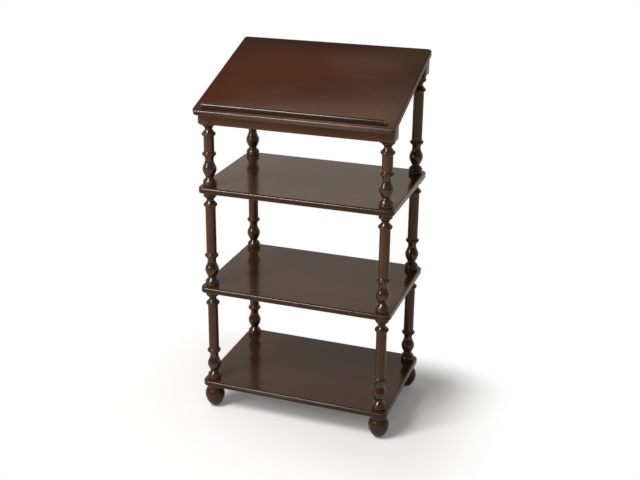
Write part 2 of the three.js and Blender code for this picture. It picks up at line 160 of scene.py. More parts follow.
@dataclass(frozen=True)
class Noise:
    """Soft noise.

    Attributes:
        stretch: Cycles per metre along each axis.
        detail: Octaves of finer noise.
        rough: Share of each finer octave.
    """

    stretch: Triple
    detail: float
    rough: float = 0.5


class Net:
    """Adds nodes to one node tree, for a material, the world or a geometry group."""

    def __init__(self, tree: bpy.types.NodeTree) -> None:
        """Keeps the tree that the nodes go to."""
        self.tree = tree

    def add(
        self,
        kind: str,
        settings: Optional[dict[str, Any]] = None,
        inputs: Optional[dict[Key, Any]] = None,
        out: Key = 0,
    ) -> Sock:
        """Adds one node.

        Args:
            kind: The node's type name.
            settings: Properties of the node, which are set first.
            inputs: Values or sockets for the node's inputs, by name or place.
            out: The output that is handed back.

        Returns:
            The chosen output as a socket for expressions.
        """
        node = self.tree.nodes.new(kind)
        for name, value in (settings or {}).items():
            setattr(node, name, value)
        for key, value in (inputs or {}).items():
            if isinstance(value, Sock):
                self.tree.links.new(value.socket, node.inputs[key])
            else:
                node.inputs[key].default_value = value
        return Sock(self, node.outputs[out]) if node.outputs else Sock(self, node.inputs[0])

    def place(self) -> Sock:
        """The Object coordinates of the surface."""
        return self.add("ShaderNodeTexCoord", out="Object")

    def noise(self, vector: Sock, kind: Noise) -> Sock:
        """Soft noise, about 0 to 1.

        Args:
            vector: Where the noise is read.
            kind: Its scale and detail.

        Returns:
            The noise.
        """
        scaled = self.add("ShaderNodeVectorMath", {"operation": "MULTIPLY"}, {0: vector, 1: kind.stretch})
        sizes = {"Vector": scaled, "Scale": 1.0, "Detail": kind.detail, "Roughness": kind.rough}
        return self.add("ShaderNodeTexNoise", {"noise_dimensions": "3D"}, sizes)

    def blend(self, factor: Value, first: Any, second: Any) -> Sock:
        """A colour between two colours.

        Args:
            factor: 0 for the first colour, 1 for the second.
            first: A colour or a colour socket.
            second: A colour or a colour socket.

        Returns:
            The mixed colour.
        """
        ends = [end if isinstance(end, Sock) else (*end, 1.0) for end in (first, second)]
        return self.add("ShaderNodeMix", {"data_type": "RGBA"}, {0: factor, 6: ends[0], 7: ends[1]}, out=2)

    def bump(self, strength: float, depth: float, height: Sock) -> Sock:
        """A normal that follows a height of this depth in metres."""
        return self.add("ShaderNodeBump", None, {"Strength": strength, "Distance": depth, "Height": height})

    def surface(self, sockets: dict[Key, Any]) -> None:
        """Ends a material in a Principled shader with these values."""
        skin = self.add("ShaderNodeBsdfPrincipled", None, sockets)
        self.add("ShaderNodeOutputMaterial", None, {"Surface": skin})


def new_material(name: str) -> tuple[bpy.types.Material, Net]:
    """Makes an empty node material.

    Args:
        name: The material's name.

    Returns:
        The material and the net for its tree.
    """
    material = bpy.data.materials.new(name)
    material.use_nodes = True
    material.node_tree.nodes.clear()
    return material, Net(material.node_tree)


class Grain(Enum):
    """Turn of the wood's long fibres from the X axis, as a Mapping node's rotation."""

    ALONG = (0.0, 0.0, 0.0)
    UPRIGHT = (0.0, QUARTER, 0.0)
    ON_SLOPE = (-TOP_TILT, 0.0, 0.0)


@dataclass(frozen=True)
class Drift:
    """A colour that spreads over the reading top from one corner; the red one is a stain, the pale one a
    painted sheen.

    Attributes:
        colour: The stain.
        streaked: The colour of its streaks.
        streaks: Strength of its streaks.
        rise: How it grows to the right, and up the slope.
        breaks: How far the clouds, and the wandering grain, break its edge.
        span: Where it starts and where it is full.
    """

    colour: Colour
    # colour: The colour that spreads.
    streaked: Colour
    streaks: float
    rise: Pair
    breaks: Pair
    span: Pair


@dataclass(frozen=True)
class StainAndPaintedLight:
    """How the reading top's colour varies: a red stain, a painted sheen and painted shade round the rim.

    Attributes:
        drifts: A red stain and a painted sheen that spread over it, the last one uppermost.
        rim_shade: How dark the painted shade round its rim is.
    """

    drifts: tuple[Drift, ...]
    rim_shade: float

    MIDDLE: ClassVar[float] = 0.3391        # how far up the slope the board's middle lies, in metres
    HALF: ClassVar[Pair] = (0.3005, 0.216)  # half of its width and depth, in metres
    RIM_SHIFT: ClassVar[float] = 0.2        # moves the rim's middle down the slope, so the rear is darker
    RIM_SPAN: ClassVar[Pair] = (0.1, 1.7)   # where the rim starts and where it is full
    RIM_LEAST: ClassVar[float] = 0.5        # least share of the rim, to which the wandering grain adds

    def over(
        self, net: Net, parts: Sock, stain: Sock, streak: Sock, cloud: Sock, wander: Sock, rim: Colour,
    ) -> Sock:
        """Lays the red stain, the painted sheen and the painted rim shade over a stain.

        Args:
            net: The material's net.
            parts: Coordinates along and across the grain.
            stain: The stain below.
            streak: Streaks of the grain.
            cloud: Broad clouds.
            wander: Wandering of the grain.
            rim: The colour of the painted rim shade.

        Returns:
            The colour.
        """
        u = parts.out(0) / self.HALF[0]
        v = (parts.out(1) - self.MIDDLE) / self.HALF[1]
        for drift in self.drifts:
            grown = u * drift.rise[0] + v * drift.rise[1]
            broken = (cloud - 0.5) * drift.breaks[0] + (wander - 0.5) * drift.breaks[1]
            colour = net.blend(streak * drift.streaks, drift.colour, drift.streaked)
            stain = net.blend((grown + broken).ramp(*drift.span), stain, colour)
        # The rim is painted shade in the pore colour, darkest at the rear.
        w = v + self.RIM_SHIFT
        edge = ((u * u) * (u * u) + (w * w) * (w * w)).ramp(*self.RIM_SPAN)
        return net.blend(edge * self.rim_shade * (self.RIM_LEAST + wander), stain, rim)


@dataclass(frozen=True)
class WoodFinish:
    """Stained, lacquered wood: growth rings, pores, rubbed edges, and stain and painted shade in hollows.

    Attributes:
        name: The material's name.
        grain: How the fibres run.
        pale: Stain on the early wood.
        deep: Stain on the late wood and in the clouds.
        pore: Stain in the pores, and stain and painted shade in the hollows.
        rubbed: The crests where they are worn.
        gloss: Mean roughness.
        figure: Strength of the rings and flames.
        clouds: Strength of the clouds.
        lacquer: Coat on the plain surface.
        sheen: Specular level under the coat.
        crest_coat: Coat that the crests add.
        glaze_coat: Coat that the hollows add.
        rub: How far the crests are worn.
        ripple: Strength of the bump.
        haze: How far the roughness varies.
        ring_pitch: Distance between growth rings, in metres.
        pith: Where the middle of the rings lies across the grain, in metres.
        stain_and_painted_light: The red stain, the painted sheen and the painted rim shade of the board, if
            it has them.
    """

    name: str
    grain: Grain
    pale: Colour
    deep: Colour
    pore: Colour
    rubbed: Colour
    gloss: float
    figure: float = 1.0
    clouds: float = 0.7
    lacquer: float = 0.045
    sheen: float = 0.16
    crest_coat: float = 0.95
    glaze_coat: float = 0.0
    rub: float = 0.22
    ripple: float = 0.22
    haze: float = 0.16
    ring_pitch: float = 0.011
    pith: Pair = (0.05, -0.31)
    stain_and_painted_light: Optional[StainAndPaintedLight] = None

    WANDER: ClassVar[Noise] = Noise((1.6, 6.0, 6.0), 3.0)
    FLAME: ClassVar[Noise] = Noise((2.2, 24.0, 24.0), 5.0, 0.6)
    FIBRE: ClassVar[Noise] = Noise((9.0, 330.0, 330.0), 3.0, 0.62)
    DASH: ClassVar[Noise] = Noise((42.0, 1150.0, 1150.0), 1.0)
    CLOUD: ClassVar[Noise] = Noise((3.1, 5.0, 5.0), 2.0)
    SCUFF: ClassVar[Noise] = Noise((38.0, 38.0, 38.0), 3.0, 0.6)
    HAZE: ClassVar[Noise] = Noise((11.0, 11.0, 11.0), 4.0, 0.6)

    RING_WANDER: ClassVar[float] = 26.0         # radians by which the wandering moves a ring
    RING_FLAME: ClassVar[float] = 4.0           # radians by which a flame moves a ring
    LATE_POWER: ClassVar[float] = 2.2           # narrows the late wood
    LATE_SHARE: ClassVar[float] = 0.5
    FLAME_SHARE: ClassVar[float] = 0.5
    FIBRE_SHARE: ClassVar[float] = 0.6
    FLAME_SPAN: ClassVar[Pair] = (0.32, 0.74)
    CLOUD_SPAN: ClassVar[Pair] = (0.28, 0.72)
    DASH_SPAN: ClassVar[Pair] = (0.6, 0.72)
    DASH_FLAME: ClassVar[Pair] = (0.3, 0.6)     # pores lie where the flame is
    SCUFF_SPAN: ClassVar[Pair] = (0.36, 0.66)
    PORE_SHADE: ClassVar[float] = 0.6
    GLAZE_SHADE: ClassVar[float] = 0.7
    PORE_ROUGH: ClassVar[float] = 0.1
    WORN_ROUGH: ClassVar[float] = 0.08
    GLAZE_ROUGH: ClassVar[float] = 0.12
    LEAST_ROUGH: ClassVar[float] = 0.08
    FIBRE_RISE: ClassVar[float] = 0.45
    FLAME_RISE: ClassVar[float] = 0.3
    PORE_SINK: ClassVar[float] = 0.6
    RIPPLE_DEPTH: ClassVar[float] = 0.0003
    SHEEN_TINT: ClassVar[tuple[float, ...]] = (1.0, 0.85, 0.7, 1.0)
    COAT_ROUGH: ClassVar[float] = 0.09
    COAT_IOR: ClassVar[float] = 1.8

    def streak(self, parts: Sock, wander: Sock, flame: Sock, fibre: Sock) -> Sock:
        """Growth rings, flames and fibres together.

        Args:
            parts: Coordinates along and across the grain.
            wander: Wandering of the grain.
            flame: Long flames.
            fibre: Fine fibres.

        Returns:
            0 on pale wood, 1 on deep wood.
        """
        across = parts.out(1) - self.pith[0]
        depth = parts.out(2) - self.pith[1]
        reach = (across * across + depth * depth) ** 0.5
        phase = reach * (math.tau / self.ring_pitch) + wander * self.RING_WANDER + flame * self.RING_FLAME
        ring = phase.sine() * 0.5 + 0.5
        late = (ring ** self.LATE_POWER) * self.LATE_SHARE * self.figure
        flames = flame.ramp(*self.FLAME_SPAN) * self.FLAME_SHARE * self.figure
        return (late + flames + (fibre - 0.5) * self.FIBRE_SHARE).at_least(0.0).at_most(1.0)

    def material(self) -> bpy.types.Material:
        """Builds the finish.

        Returns:
            The wood material.
        """
        material, net = new_material(self.name)
        place = net.place()
        turn = {"Vector": place, "Rotation": self.grain.value}
        along = net.add("ShaderNodeMapping", {"vector_type": "POINT"}, turn)
        parts = net.add("ShaderNodeSeparateXYZ", None, {0: along})
        wander = net.noise(along, self.WANDER)
        flame = net.noise(along, self.FLAME)
        fibre = net.noise(along, self.FIBRE)
        cloud = net.noise(along, self.CLOUD)
        pores = net.noise(along, self.DASH).ramp(*self.DASH_SPAN) * flame.ramp(*self.DASH_FLAME)
        streak = self.streak(parts, wander, flame, fibre)
        stain = net.blend(streak, self.pale, self.deep)
        stain = net.blend(cloud.ramp(*self.CLOUD_SPAN) * self.clouds, stain, self.deep)
        if self.stain_and_painted_light:
            stain = self.stain_and_painted_light.over(net, parts, stain, streak, cloud, wander, self.pore)
        pored = net.blend(pores * self.PORE_SHADE, stain, self.pore)
        relief = net.add("ShaderNodeAttribute", {"attribute_name": RELIEF}, out="Fac")
        crest = relief.at_least(0.0)
        worn = crest * net.noise(place, self.SCUFF).ramp(*self.SCUFF_SPAN)
        # Hollows darken towards the pore colour: stain that is partly painted shade in grooves, quirks and
        # ornaments.
        glaze_and_shade = (relief * -1.0).at_least(0.0).at_most(1.0)
        shaded = net.blend(glaze_and_shade * self.GLAZE_SHADE, pored, self.pore)
        hazed = self.gloss + (net.noise(place, self.HAZE) - 0.5) * self.haze
        rough = hazed + pores * self.PORE_ROUGH + worn * self.WORN_ROUGH + glaze_and_shade * self.GLAZE_ROUGH
        height = fibre * self.FIBRE_RISE + flame * self.FLAME_RISE - pores * self.PORE_SINK
        net.surface({
            "Base Color": net.blend(worn * self.rub, shaded, self.rubbed),
            "Roughness": rough.at_least(self.LEAST_ROUGH),
            "Specular IOR Level": self.sheen,
            "Specular Tint": self.SHEEN_TINT,
            "Coat Weight": (self.lacquer + crest * self.crest_coat + glaze_and_shade * self.glaze_coat).at_most(1.0),
            "Coat Roughness": self.COAT_ROUGH,
            "Coat IOR": self.COAT_IOR,
            "Normal": net.bump(self.ripple, self.RIPPLE_DEPTH, height),
        })
        return material


@dataclass(frozen=True)
class SteelFinish:
    """Zinc-plated steel with drawn marks and dull patches.

    Attributes:
        name: The material's name.
        bright: Fresh plating.
        dull: Dull patches.
        drawn: Cycles per metre of the drawn marks along each axis.
    """

    name: str
    bright: Colour
    dull: Colour
    drawn: Triple

    PATCH: ClassVar[Noise] = Noise((160.0, 160.0, 160.0), 4.0, 0.6)
    PATCH_SPAN: ClassVar[Pair] = (0.35, 0.7)
    MARK_DETAIL: ClassVar[float] = 3.0
    MARK_BUMP: ClassVar[float] = 0.15
    MARK_DEPTH: ClassVar[float] = 0.0001
    ROUGH: ClassVar[float] = 0.26
    PATCH_ROUGH: ClassVar[float] = 0.2
    MARK_ROUGH: ClassVar[float] = 0.08

    def material(self) -> bpy.types.Material:
        """Builds the finish.

        Returns:
            The steel material.
        """
        material, net = new_material(self.name)
        place = net.place()
        marks = net.noise(place, Noise(self.drawn, self.MARK_DETAIL))
        patch = net.noise(place, self.PATCH)
        net.surface({
            "Base Color": net.blend(patch.ramp(*self.PATCH_SPAN), self.bright, self.dull),
            "Roughness": self.ROUGH + patch * self.PATCH_ROUGH + marks * self.MARK_ROUGH,
            "Metallic": 1.0,
            "Normal": net.bump(self.MARK_BUMP, self.MARK_DEPTH, marks),
        })
        return material


@dataclass(frozen=True)
class NylonFinish:
    """Dark moulded nylon with a fine matt grain and a scuffed sole.

    Attributes:
        name: The material's name.
        body: The nylon.
        scuffed: The sole where it is worn.
    """

    name: str
    body: Colour
    scuffed: Colour

    GRIT: ClassVar[Noise] = Noise((900.0, 900.0, 900.0), 2.0)
    SCUFF: ClassVar[Noise] = Noise((240.0, 240.0, 60.0), 4.0, 0.65)
    SCUFF_SPAN: ClassVar[Pair] = (0.4, 0.65)
    SOLE: ClassVar[Pair] = (0.0002, 0.0012)     # heights between which the wear ends, in metres
    GRIT_BUMP: ClassVar[float] = 0.2
    GRIT_DEPTH: ClassVar[float] = 0.0001
    ROUGH: ClassVar[float] = 0.48
    GRIT_ROUGH: ClassVar[float] = 0.12
    SOLE_ROUGH: ClassVar[float] = 0.15

    def material(self) -> bpy.types.Material:
        """Builds the finish.

        Returns:
            The nylon material.
        """
        material, net = new_material(self.name)
        place = net.place()
        height = net.add("ShaderNodeSeparateXYZ", None, {0: place}, out=2)
        grit = net.noise(place, self.GRIT)
        sole = (1.0 - height.ramp(*self.SOLE)) * net.noise(place, self.SCUFF).ramp(*self.SCUFF_SPAN)
        net.surface({
            "Base Color": net.blend(sole, self.body, self.scuffed),
            "Roughness": self.ROUGH + grit * self.GRIT_ROUGH + sole * self.SOLE_ROUGH,
            "Normal": net.bump(self.GRIT_BUMP, self.GRIT_DEPTH, grit),
        })
        return material


@dataclass
class Finishes:
    """The finishes of the stand's pieces."""

    top: bpy.types.Material
    ledge: bpy.types.Material
    shelf: bpy.types.Material
    turned: bpy.types.Material
    foot: bpy.types.Material
    rail: bpy.types.Material
    block: bpy.types.Material
    dowel: bpy.types.Material
    stud: bpy.types.Material
    screw: bpy.types.Material
    glide: bpy.types.Material

    @staticmethod
    def stain_and_painted_light(pale: Colour, deep: Colour) -> StainAndPaintedLight:
        """The top's red stain to the rear left, painted sheen to the front right, painted shade round the
        rim.

        Args:
            pale: The top's pale stain.
            deep: The top's deep stain.

        Returns:
            The patina.
        """
        red = Drift(
            colour=(0.052, 0.0125, 0.0036), streaked=deep, streaks=0.5,
            rise=(-0.55, 0.45), breaks=(1.2, 0.8), span=(-0.42, 0.32),
        )
        # The pale grey drift to the front right is a painted sheen.
        whitening = Drift(
            colour=(0.108, 0.059, 0.042), streaked=pale, streaks=0.4,
            rise=(0.4, -0.8), breaks=(0.0, 0.6), span=(0.18, 1.08),
        )
        return StainAndPaintedLight((red, whitening), rim_shade=0.5)

    @classmethod
    def mixed(cls) -> "Finishes":
        """Makes every finish.

        Returns:
            The finishes, ready to put on the pieces.
        """
        brown = {"pore": (0.005, 0.0024, 0.0016), "rubbed": (0.17, 0.082, 0.045)}
        red = {"pale": (0.064, 0.029, 0.016), "deep": (0.034, 0.0135, 0.0072)}
        plain = {"pale": (0.05, 0.0222, 0.0118), "deep": (0.027, 0.0112, 0.0058)}
        # The ledge is a darker copy of the wood: painted shade for its front face, which faces away from the
        # light.
        strip = {"pale": (0.021, 0.0092, 0.005), "deep": (0.011, 0.005, 0.0029)}
        turned = {
            "pale": (0.088, 0.0325, 0.0145), "deep": (0.041, 0.015, 0.0068),
            "pore": (0.012, 0.0096, 0.007), "rubbed": brown["rubbed"],
            "gloss": 0.14, "clouds": 0.2, "sheen": 0.03, "crest_coat": 0.3, "rub": 0.07, "ring_pitch": 0.006,
        }
        dark = {
            "pale": (0.088, 0.0385, 0.0212), "deep": (0.05, 0.0205, 0.0112), **brown,
            "gloss": 0.31, "sheen": 0.13, "crest_coat": 0.2,
        }
        beech = {
            "pale": (0.55, 0.38, 0.21), "deep": (0.42, 0.27, 0.14),
            "pore": (0.2, 0.11, 0.05), "rubbed": (0.62, 0.45, 0.27),
        }
        recipes = {
            "top": WoodFinish(
                "top_wood", Grain.ON_SLOPE, **red, **brown,
                gloss=0.33, figure=0.25, lacquer=0.02, sheen=0.1, rub=0.45, stain_and_painted_light=cls.stain_and_painted_light(**red),
            ),
            "ledge": WoodFinish("ledge_wood", Grain.ON_SLOPE, **strip, **brown, gloss=0.3, pith=(-0.2, -0.5)),
            "shelf": WoodFinish(
                "shelf_wood", Grain.ALONG, **plain, **brown, gloss=0.16, figure=0.4, ripple=0.1, haze=0.1,
            ),
            "turned": WoodFinish("turned_wood", Grain.UPRIGHT, **turned, lacquer=0.13, glaze_coat=0.34),
            "foot": WoodFinish("foot_wood", Grain.UPRIGHT, **turned, lacquer=0.08, glaze_coat=0.14),
            "rail": WoodFinish("rail_wood", Grain.ALONG, **dark, figure=0.5, pith=(0.3, 0.7)),
            "block": WoodFinish("block_wood", Grain.UPRIGHT, **dark, ring_pitch=0.007),
            "dowel": WoodFinish("dowel_wood", Grain.ALONG, **beech, gloss=0.6, lacquer=0.0),
            "stud": SteelFinish(
                "stud_steel", bright=(0.6, 0.6, 0.58), dull=(0.42, 0.42, 0.4), drawn=(60.0, 60.0, 2400.0),
            ),
            "screw": SteelFinish(
                "screw_steel", bright=(0.62, 0.56, 0.4), dull=(0.46, 0.4, 0.27), drawn=(900.0, 900.0, 60.0),
            ),
            "glide": NylonFinish("glide_nylon", body=(0.022, 0.018, 0.016), scuffed=(0.075, 0.068, 0.062)),
        }
        return cls(**{piece: recipe.material() for piece, recipe in recipes.items()})


def span(node: str) -> tuple[Vector, Vector]:
    """Lowest and highest corner of a CAD node, as vectors."""
    low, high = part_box(node)
    return Vector(low), Vector(high)


def axis_foot(low: Vector, high: Vector) -> Vector:
    """The middle of the underside of a box."""
    return Vector(((low.x + high.x) / 2, (low.y + high.y) / 2, low.z))


def settled(obj: bpy.types.Object) -> None:
    """Turns an object's modifiers into a plain mesh and removes them.

    Args:
        obj: The object, which keeps its name.
    """
    graph = bpy.context.evaluated_depsgraph_get()
    result = obj.evaluated_get(graph)
    mesh = bpy.data.meshes.new_from_object(result, preserve_all_data_layers=True, depsgraph=graph)
    obj.modifiers.clear()
    obj.data = mesh


def new_object(name: str, mesh: bpy.types.Mesh) -> bpy.types.Object:
    """Puts a mesh in the scene, at the origin.

    Args:
        name: The object's name.
        mesh: Its mesh.

    Returns:
        The object.
    """
    obj = bpy.data.objects.new(name, mesh)
    bpy.context.scene.collection.objects.link(obj)
    return obj


def handed_over(obj: bpy.types.Object, nodes: Sequence[str]) -> None:
    """Puts a finished piece on the stand in place of its CAD nodes.

    Args:
        obj: The finished piece.
        nodes: The CAD nodes that the piece stands for.
    """
    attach(obj, BODY)
    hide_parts(*nodes)
    LOG.info("%s: %d faces, stands for %s", obj.name, len(obj.data.polygons), ", ".join(nodes))


def skinned(work: bmesh.types.BMesh, rings: Sequence[Ring]) -> None:
    """Joins each closed ring of points to the next one with faces.

    Args:
        work: The bmesh that the rings are in.
        rings: The rings, each with the same number of points.
    """
    for lower, upper in zip(rings, rings[1:]):
        for i, vert in enumerate(lower):
            after = (i + 1) % len(lower)
            work.faces.new((vert, lower[after], upper[after], upper[i]))


def creased(mesh: bpy.types.Mesh, degrees: float = CREASE) -> None:
    """Shades a mesh smooth, but sharp where it turns more than some degrees."""
    mesh.polygons.foreach_set("use_smooth", [True] * len(mesh.polygons))
    mesh.set_sharp_from_angle(angle=math.radians(degrees))


def mesh_of(work: bmesh.types.BMesh, name: str, material: bpy.types.Material) -> bpy.types.Mesh:
    """Closes a bmesh into a smooth-shaded mesh with sharp creases.

    Args:
        work: The bmesh, which is freed.
        name: The mesh's name.
        material: The finish of all its faces.

    Returns:
        The mesh.
    """
    bmesh.ops.recalc_face_normals(work, faces=work.faces)
    mesh = bpy.data.meshes.new(name)
    work.to_mesh(mesh)
    work.free()
    mesh.materials.append(material)
    creased(mesh)
    return mesh


def eased(obj: bpy.types.Object, width: float, segments: int) -> None:
    """Rounds the sharp edges of a piece and marks them for wear.

    Args:
        obj: The piece.
        width: Width of the easing in millimetres.
        segments: Facets over the easing.
    """
    least_turn = 28.0
    crest = 0.9
    bevel = obj.modifiers.new("eased", "BEVEL")
    bevel.width = width * MM
    bevel.segments = segments
    bevel.limit_method = "ANGLE"
    bevel.angle_limit = math.radians(least_turn)
    bevel.use_clamp_overlap = True
    settled(obj)
    mesh = obj.data
    layer = mesh.attributes.new(RELIEF, "FLOAT", "FACE")
    corners = [vertex.co for vertex in mesh.vertices]
    values = []
    for face in mesh.polygons:
        longest = max((corners[a] - corners[b]).length for a, b in face.edge_keys)
        values.append(crest if face.area / longest < width * MM else 0.0)
    layer.data.foreach_set("value", values)
    creased(mesh)


class Profile:
    """The turned outline of a piece in millimetres, from the axis at its foot to the axis at its head."""

    STEP = 0.9              # length of a curve's facets
    SAME = 0.02             # pairs that lie nearer than this are one
    WINDOW = 4.0            # relief is counted from the mean radius within this height
    LEAST_RADIUS = 7.5      # smaller radii belong to bores and nails
    FULL_RELIEF = 1.3       # a point this far out of the mean is a full crest
    STAIN_AND_SHADE = 0.92            # stain and painted shade all over the outline, apart from its clear part
    BORE = 4.4              # radius of a stud's bore
    BORE_DEPTH = 23.0

    def __init__(self) -> None:
        """Starts an empty outline with no clear part."""
        self.pairs: list[Pair] = []
        self.clear: Pair = (0.0, 0.0)

    def to(self, *pairs: Pair) -> "Profile":
        """Straight lines to [radius, height] pairs."""
        self.pairs.extend(pairs)
        return self

    def through(self, *pairs: Pair) -> "Profile":
        """A smooth curve from the last pair through more pairs.

        Args:
            pairs: The pairs that the curve goes through.

        Returns:
            The outline itself.
        """
        knots = [self.pairs[-1], *pairs]
        ends = [self._beyond(knots[1], knots[0]), *knots, self._beyond(knots[-2], knots[-1])]
        for i in range(1, len(ends) - 2):
            a, b, c, d = (Vector(pair) for pair in ends[i - 1:i + 3])
            count = max(2, round((c - b).length / self.STEP))
            for k in range(1, count + 1):
                t = k / count
                square = (2 * a - 5 * b + 4 * c - d) * t ** 2
                cube = (3 * b - a - 3 * c + d) * t ** 3
                point = 0.5 * (2 * b + (c - a) * t + square + cube)
                self.pairs.append((point.x, point.y))
        return self

    @staticmethod
    def _beyond(near: Pair, end: Pair) -> Pair:
        """The pair that mirrors one knot about an end knot."""
        return (2 * end[0] - near[0], 2 * end[1] - near[1])

    def bead(self, foot: float, crest: float, height: float, half: float, steps: int = 14) -> "Profile":
        """A half-round ring.

        Args:
            foot: Radius at its two edges.
            crest: Radius at its middle.
            height: Height of its middle.
            half: Half of its height.
            steps: Facets over the half round.

        Returns:
            The outline itself.
        """
        for i in range(steps + 1):
            angle = math.pi * (i / steps - 0.5)
            self.pairs.append((foot + (crest - foot) * math.cos(angle), height + half * math.sin(angle)))
        return self

    def foot_bore(self) -> "Profile":
        """Starts the outline with a blind stud bore in the foot."""
        return self.to((0.0, self.BORE_DEPTH), (self.BORE, self.BORE_DEPTH), (self.BORE, 0.0))

    def head_bore(self, length: float) -> "Profile":
        """Ends the outline with a blind stud bore in the head."""
        deep = length - self.BORE_DEPTH
        return self.to((self.BORE, length), (self.BORE, deep), (0.0, deep))

    def mesh(self, name: str) -> bpy.types.Mesh:
        """The outline as a line of edges in the XZ plane, with its relief.

        Args:
            name: The mesh's name.

        Returns:
            A mesh of points and edges in metres.
        """
        kept = [self.pairs[0]]
        for pair in self.pairs[1:]:
            if math.dist(pair, kept[-1]) > self.SAME:
                kept.append(pair)
        mesh = bpy.data.meshes.new(name)
        points = [(radius * MM, 0.0, height * MM) for radius, height in kept]
        mesh.from_pydata(points, [(i, i + 1) for i in range(len(points) - 1)], [])
        layer = mesh.attributes.new(RELIEF, "FLOAT", "POINT")
        layer.data.foreach_set("value", [self._relief(kept, pair) for pair in kept])
        return mesh

    def _relief(self, pairs: Sequence[Pair], here: Pair) -> float:
        """How far a point stands out of the outline around it, or lies below it.

        Args:
            pairs: The whole outline.
            here: The point.

        Returns:
            The relief, from -1 in a hollow to 1 on a crest.
        """
        around = [radius for radius, height in pairs if abs(height - here[1]) < self.WINDOW]
        near = [radius for radius in around if radius > self.LEAST_RADIUS]
        if not near:
            return 0.0
        rise = here[0] - sum(near) / len(near)
        # Away from the clear part the relief is lowered: stain that is partly painted shade.
        stain = 0.0 if self.clear[0] <= here[1] <= self.clear[1] else self.STAIN_AND_SHADE
        return max(-1.0, min(1.0, rise / self.FULL_RELIEF - stain))


def raised(pairs: Pairs, height: float) -> Pairs:
    """An outline's pairs, moved up."""
    return tuple((radius, height + above) for radius, above in pairs)


class PieceGroup:
    """A geometry group with named inputs that makes a piece."""

    def __init__(self, name: str, source: str, kinds: dict[str, str]) -> None:
        """Makes the group's sockets and keeps the identifiers of its inputs.

        Args:
            name: The group's name.
            source: Name of the geometry that goes in.
            kinds: Socket type of each further input, by name.
        """
        self.tree = bpy.data.node_groups.new(name, "GeometryNodeTree")
        face = self.tree.interface
        face.new_socket(source, in_out="INPUT", socket_type="NodeSocketGeometry")
        kinds = {**kinds, "Finish": "NodeSocketMaterial"}
        self.inputs = {}
        for label, kind in kinds.items():
            self.inputs[label] = face.new_socket(label, in_out="INPUT", socket_type=kind).identifier
        face.new_socket("Piece", in_out="OUTPUT", socket_type="NodeSocketGeometry")
        self.net = Net(self.tree)
        self.source = self.net.add("NodeGroupInput")

    def end(self, geometry: Sock) -> None:
        """Ends the tree in plain geometry with its finish.

        Args:
            geometry: What the tree has made.
        """
        real = self.net.add("GeometryNodeRealizeInstances", None, {"Geometry": geometry})
        dressed = {"Geometry": real, "Material": self.source.out("Finish")}
        done = self.net.add("GeometryNodeSetMaterial", None, dressed)
        self.net.add("NodeGroupOutput", None, {0: done})

    def run(self, obj: bpy.types.Object, values: dict[str, Any], crease: float) -> None:
        """Runs the group on an object and leaves a plain mesh.

        Args:
            obj: The object, which holds the geometry that goes in.
            values: The value of each further input, by name.
            crease: Edges that turn more than this many degrees stay sharp.
        """
        modifier = obj.modifiers.new(self.tree.name, "NODES")
        modifier.node_group = self.tree
        for label, value in values.items():
            modifier[self.inputs[label]] = value
        settled(obj)
        creased(obj.data, crease)


class Lathe(PieceGroup):
    """A geometry group that turns an outline about an upright axis."""

    TURNED_CREASE = 40.0
    SAME = 1e-6

    def __init__(self) -> None:
        """Builds the group."""
        kinds = {"Sides": "NodeSocketInt", "Axis foot": "NodeSocketVector"}
        super().__init__("turned member", "Outline", kinds)
        net, outline = self.net, self.source
        sides = outline.out("Sides")
        count = net.add("GeometryNodeAttributeDomainSize", {"component": "MESH"}, {0: outline})
        grid = net.add("GeometryNodeMeshGrid", None, {"Vertices X": sides + 1.0, "Vertices Y": count})
        index = net.add("GeometryNodeInputIndex")
        ring = index % count
        angle = (index / count).floor() * math.tau / sides
        here = net.add("GeometryNodeInputPosition")
        reads = {"data_type": "FLOAT_VECTOR", "domain": "POINT"}
        from_outline = {"Geometry": outline, "Index": ring}
        point = net.add("GeometryNodeSampleIndex", reads, {**from_outline, "Value": here})
        parts = net.add("ShaderNodeSeparateXYZ", None, {0: point})
        swung = net.add("ShaderNodeCombineXYZ", None, {
            0: parts.out(0) * angle.cosine(),
            1: parts.out(0) * angle.sine(),
            2: parts.out(2),
        })
        add = {"operation": "ADD"}
        place = net.add("ShaderNodeVectorMath", add, {0: swung, 1: outline.out("Axis foot")})
        named = net.add("GeometryNodeInputNamedAttribute", {"data_type": "FLOAT"}, {"Name": RELIEF})
        reads = {"data_type": "FLOAT", "domain": "POINT"}
        relief = net.add("GeometryNodeSampleIndex", reads, {**from_outline, "Value": named})
        stored = {"Geometry": grid, "Name": RELIEF, "Value": relief}
        marked = net.add("GeometryNodeStoreNamedAttribute", reads, stored)
        skin = net.add("GeometryNodeSetPosition", None, {"Geometry": marked, "Position": place})
        self.end(net.add("GeometryNodeMergeByDistance", None, {"Geometry": skin, "Distance": self.SAME}))

    def turn(
        self, name: str, profile: Profile, foot: Vector, sides: int, finish: bpy.types.Material,
    ) -> bpy.types.Object:
        """Turns one piece.

        Args:
            name: The piece's name.
            profile: Its outline.
            foot: The point on the axis that the outline's heights are counted from.
            sides: Facets round the axis.
            finish: Its material.

        Returns:
            The piece as a plain mesh.
        """
        obj = new_object(name, profile.mesh(name))
        self.run(obj, {"Sides": sides, "Axis foot": tuple(foot), "Finish": finish}, self.TURNED_CREASE)
        return obj


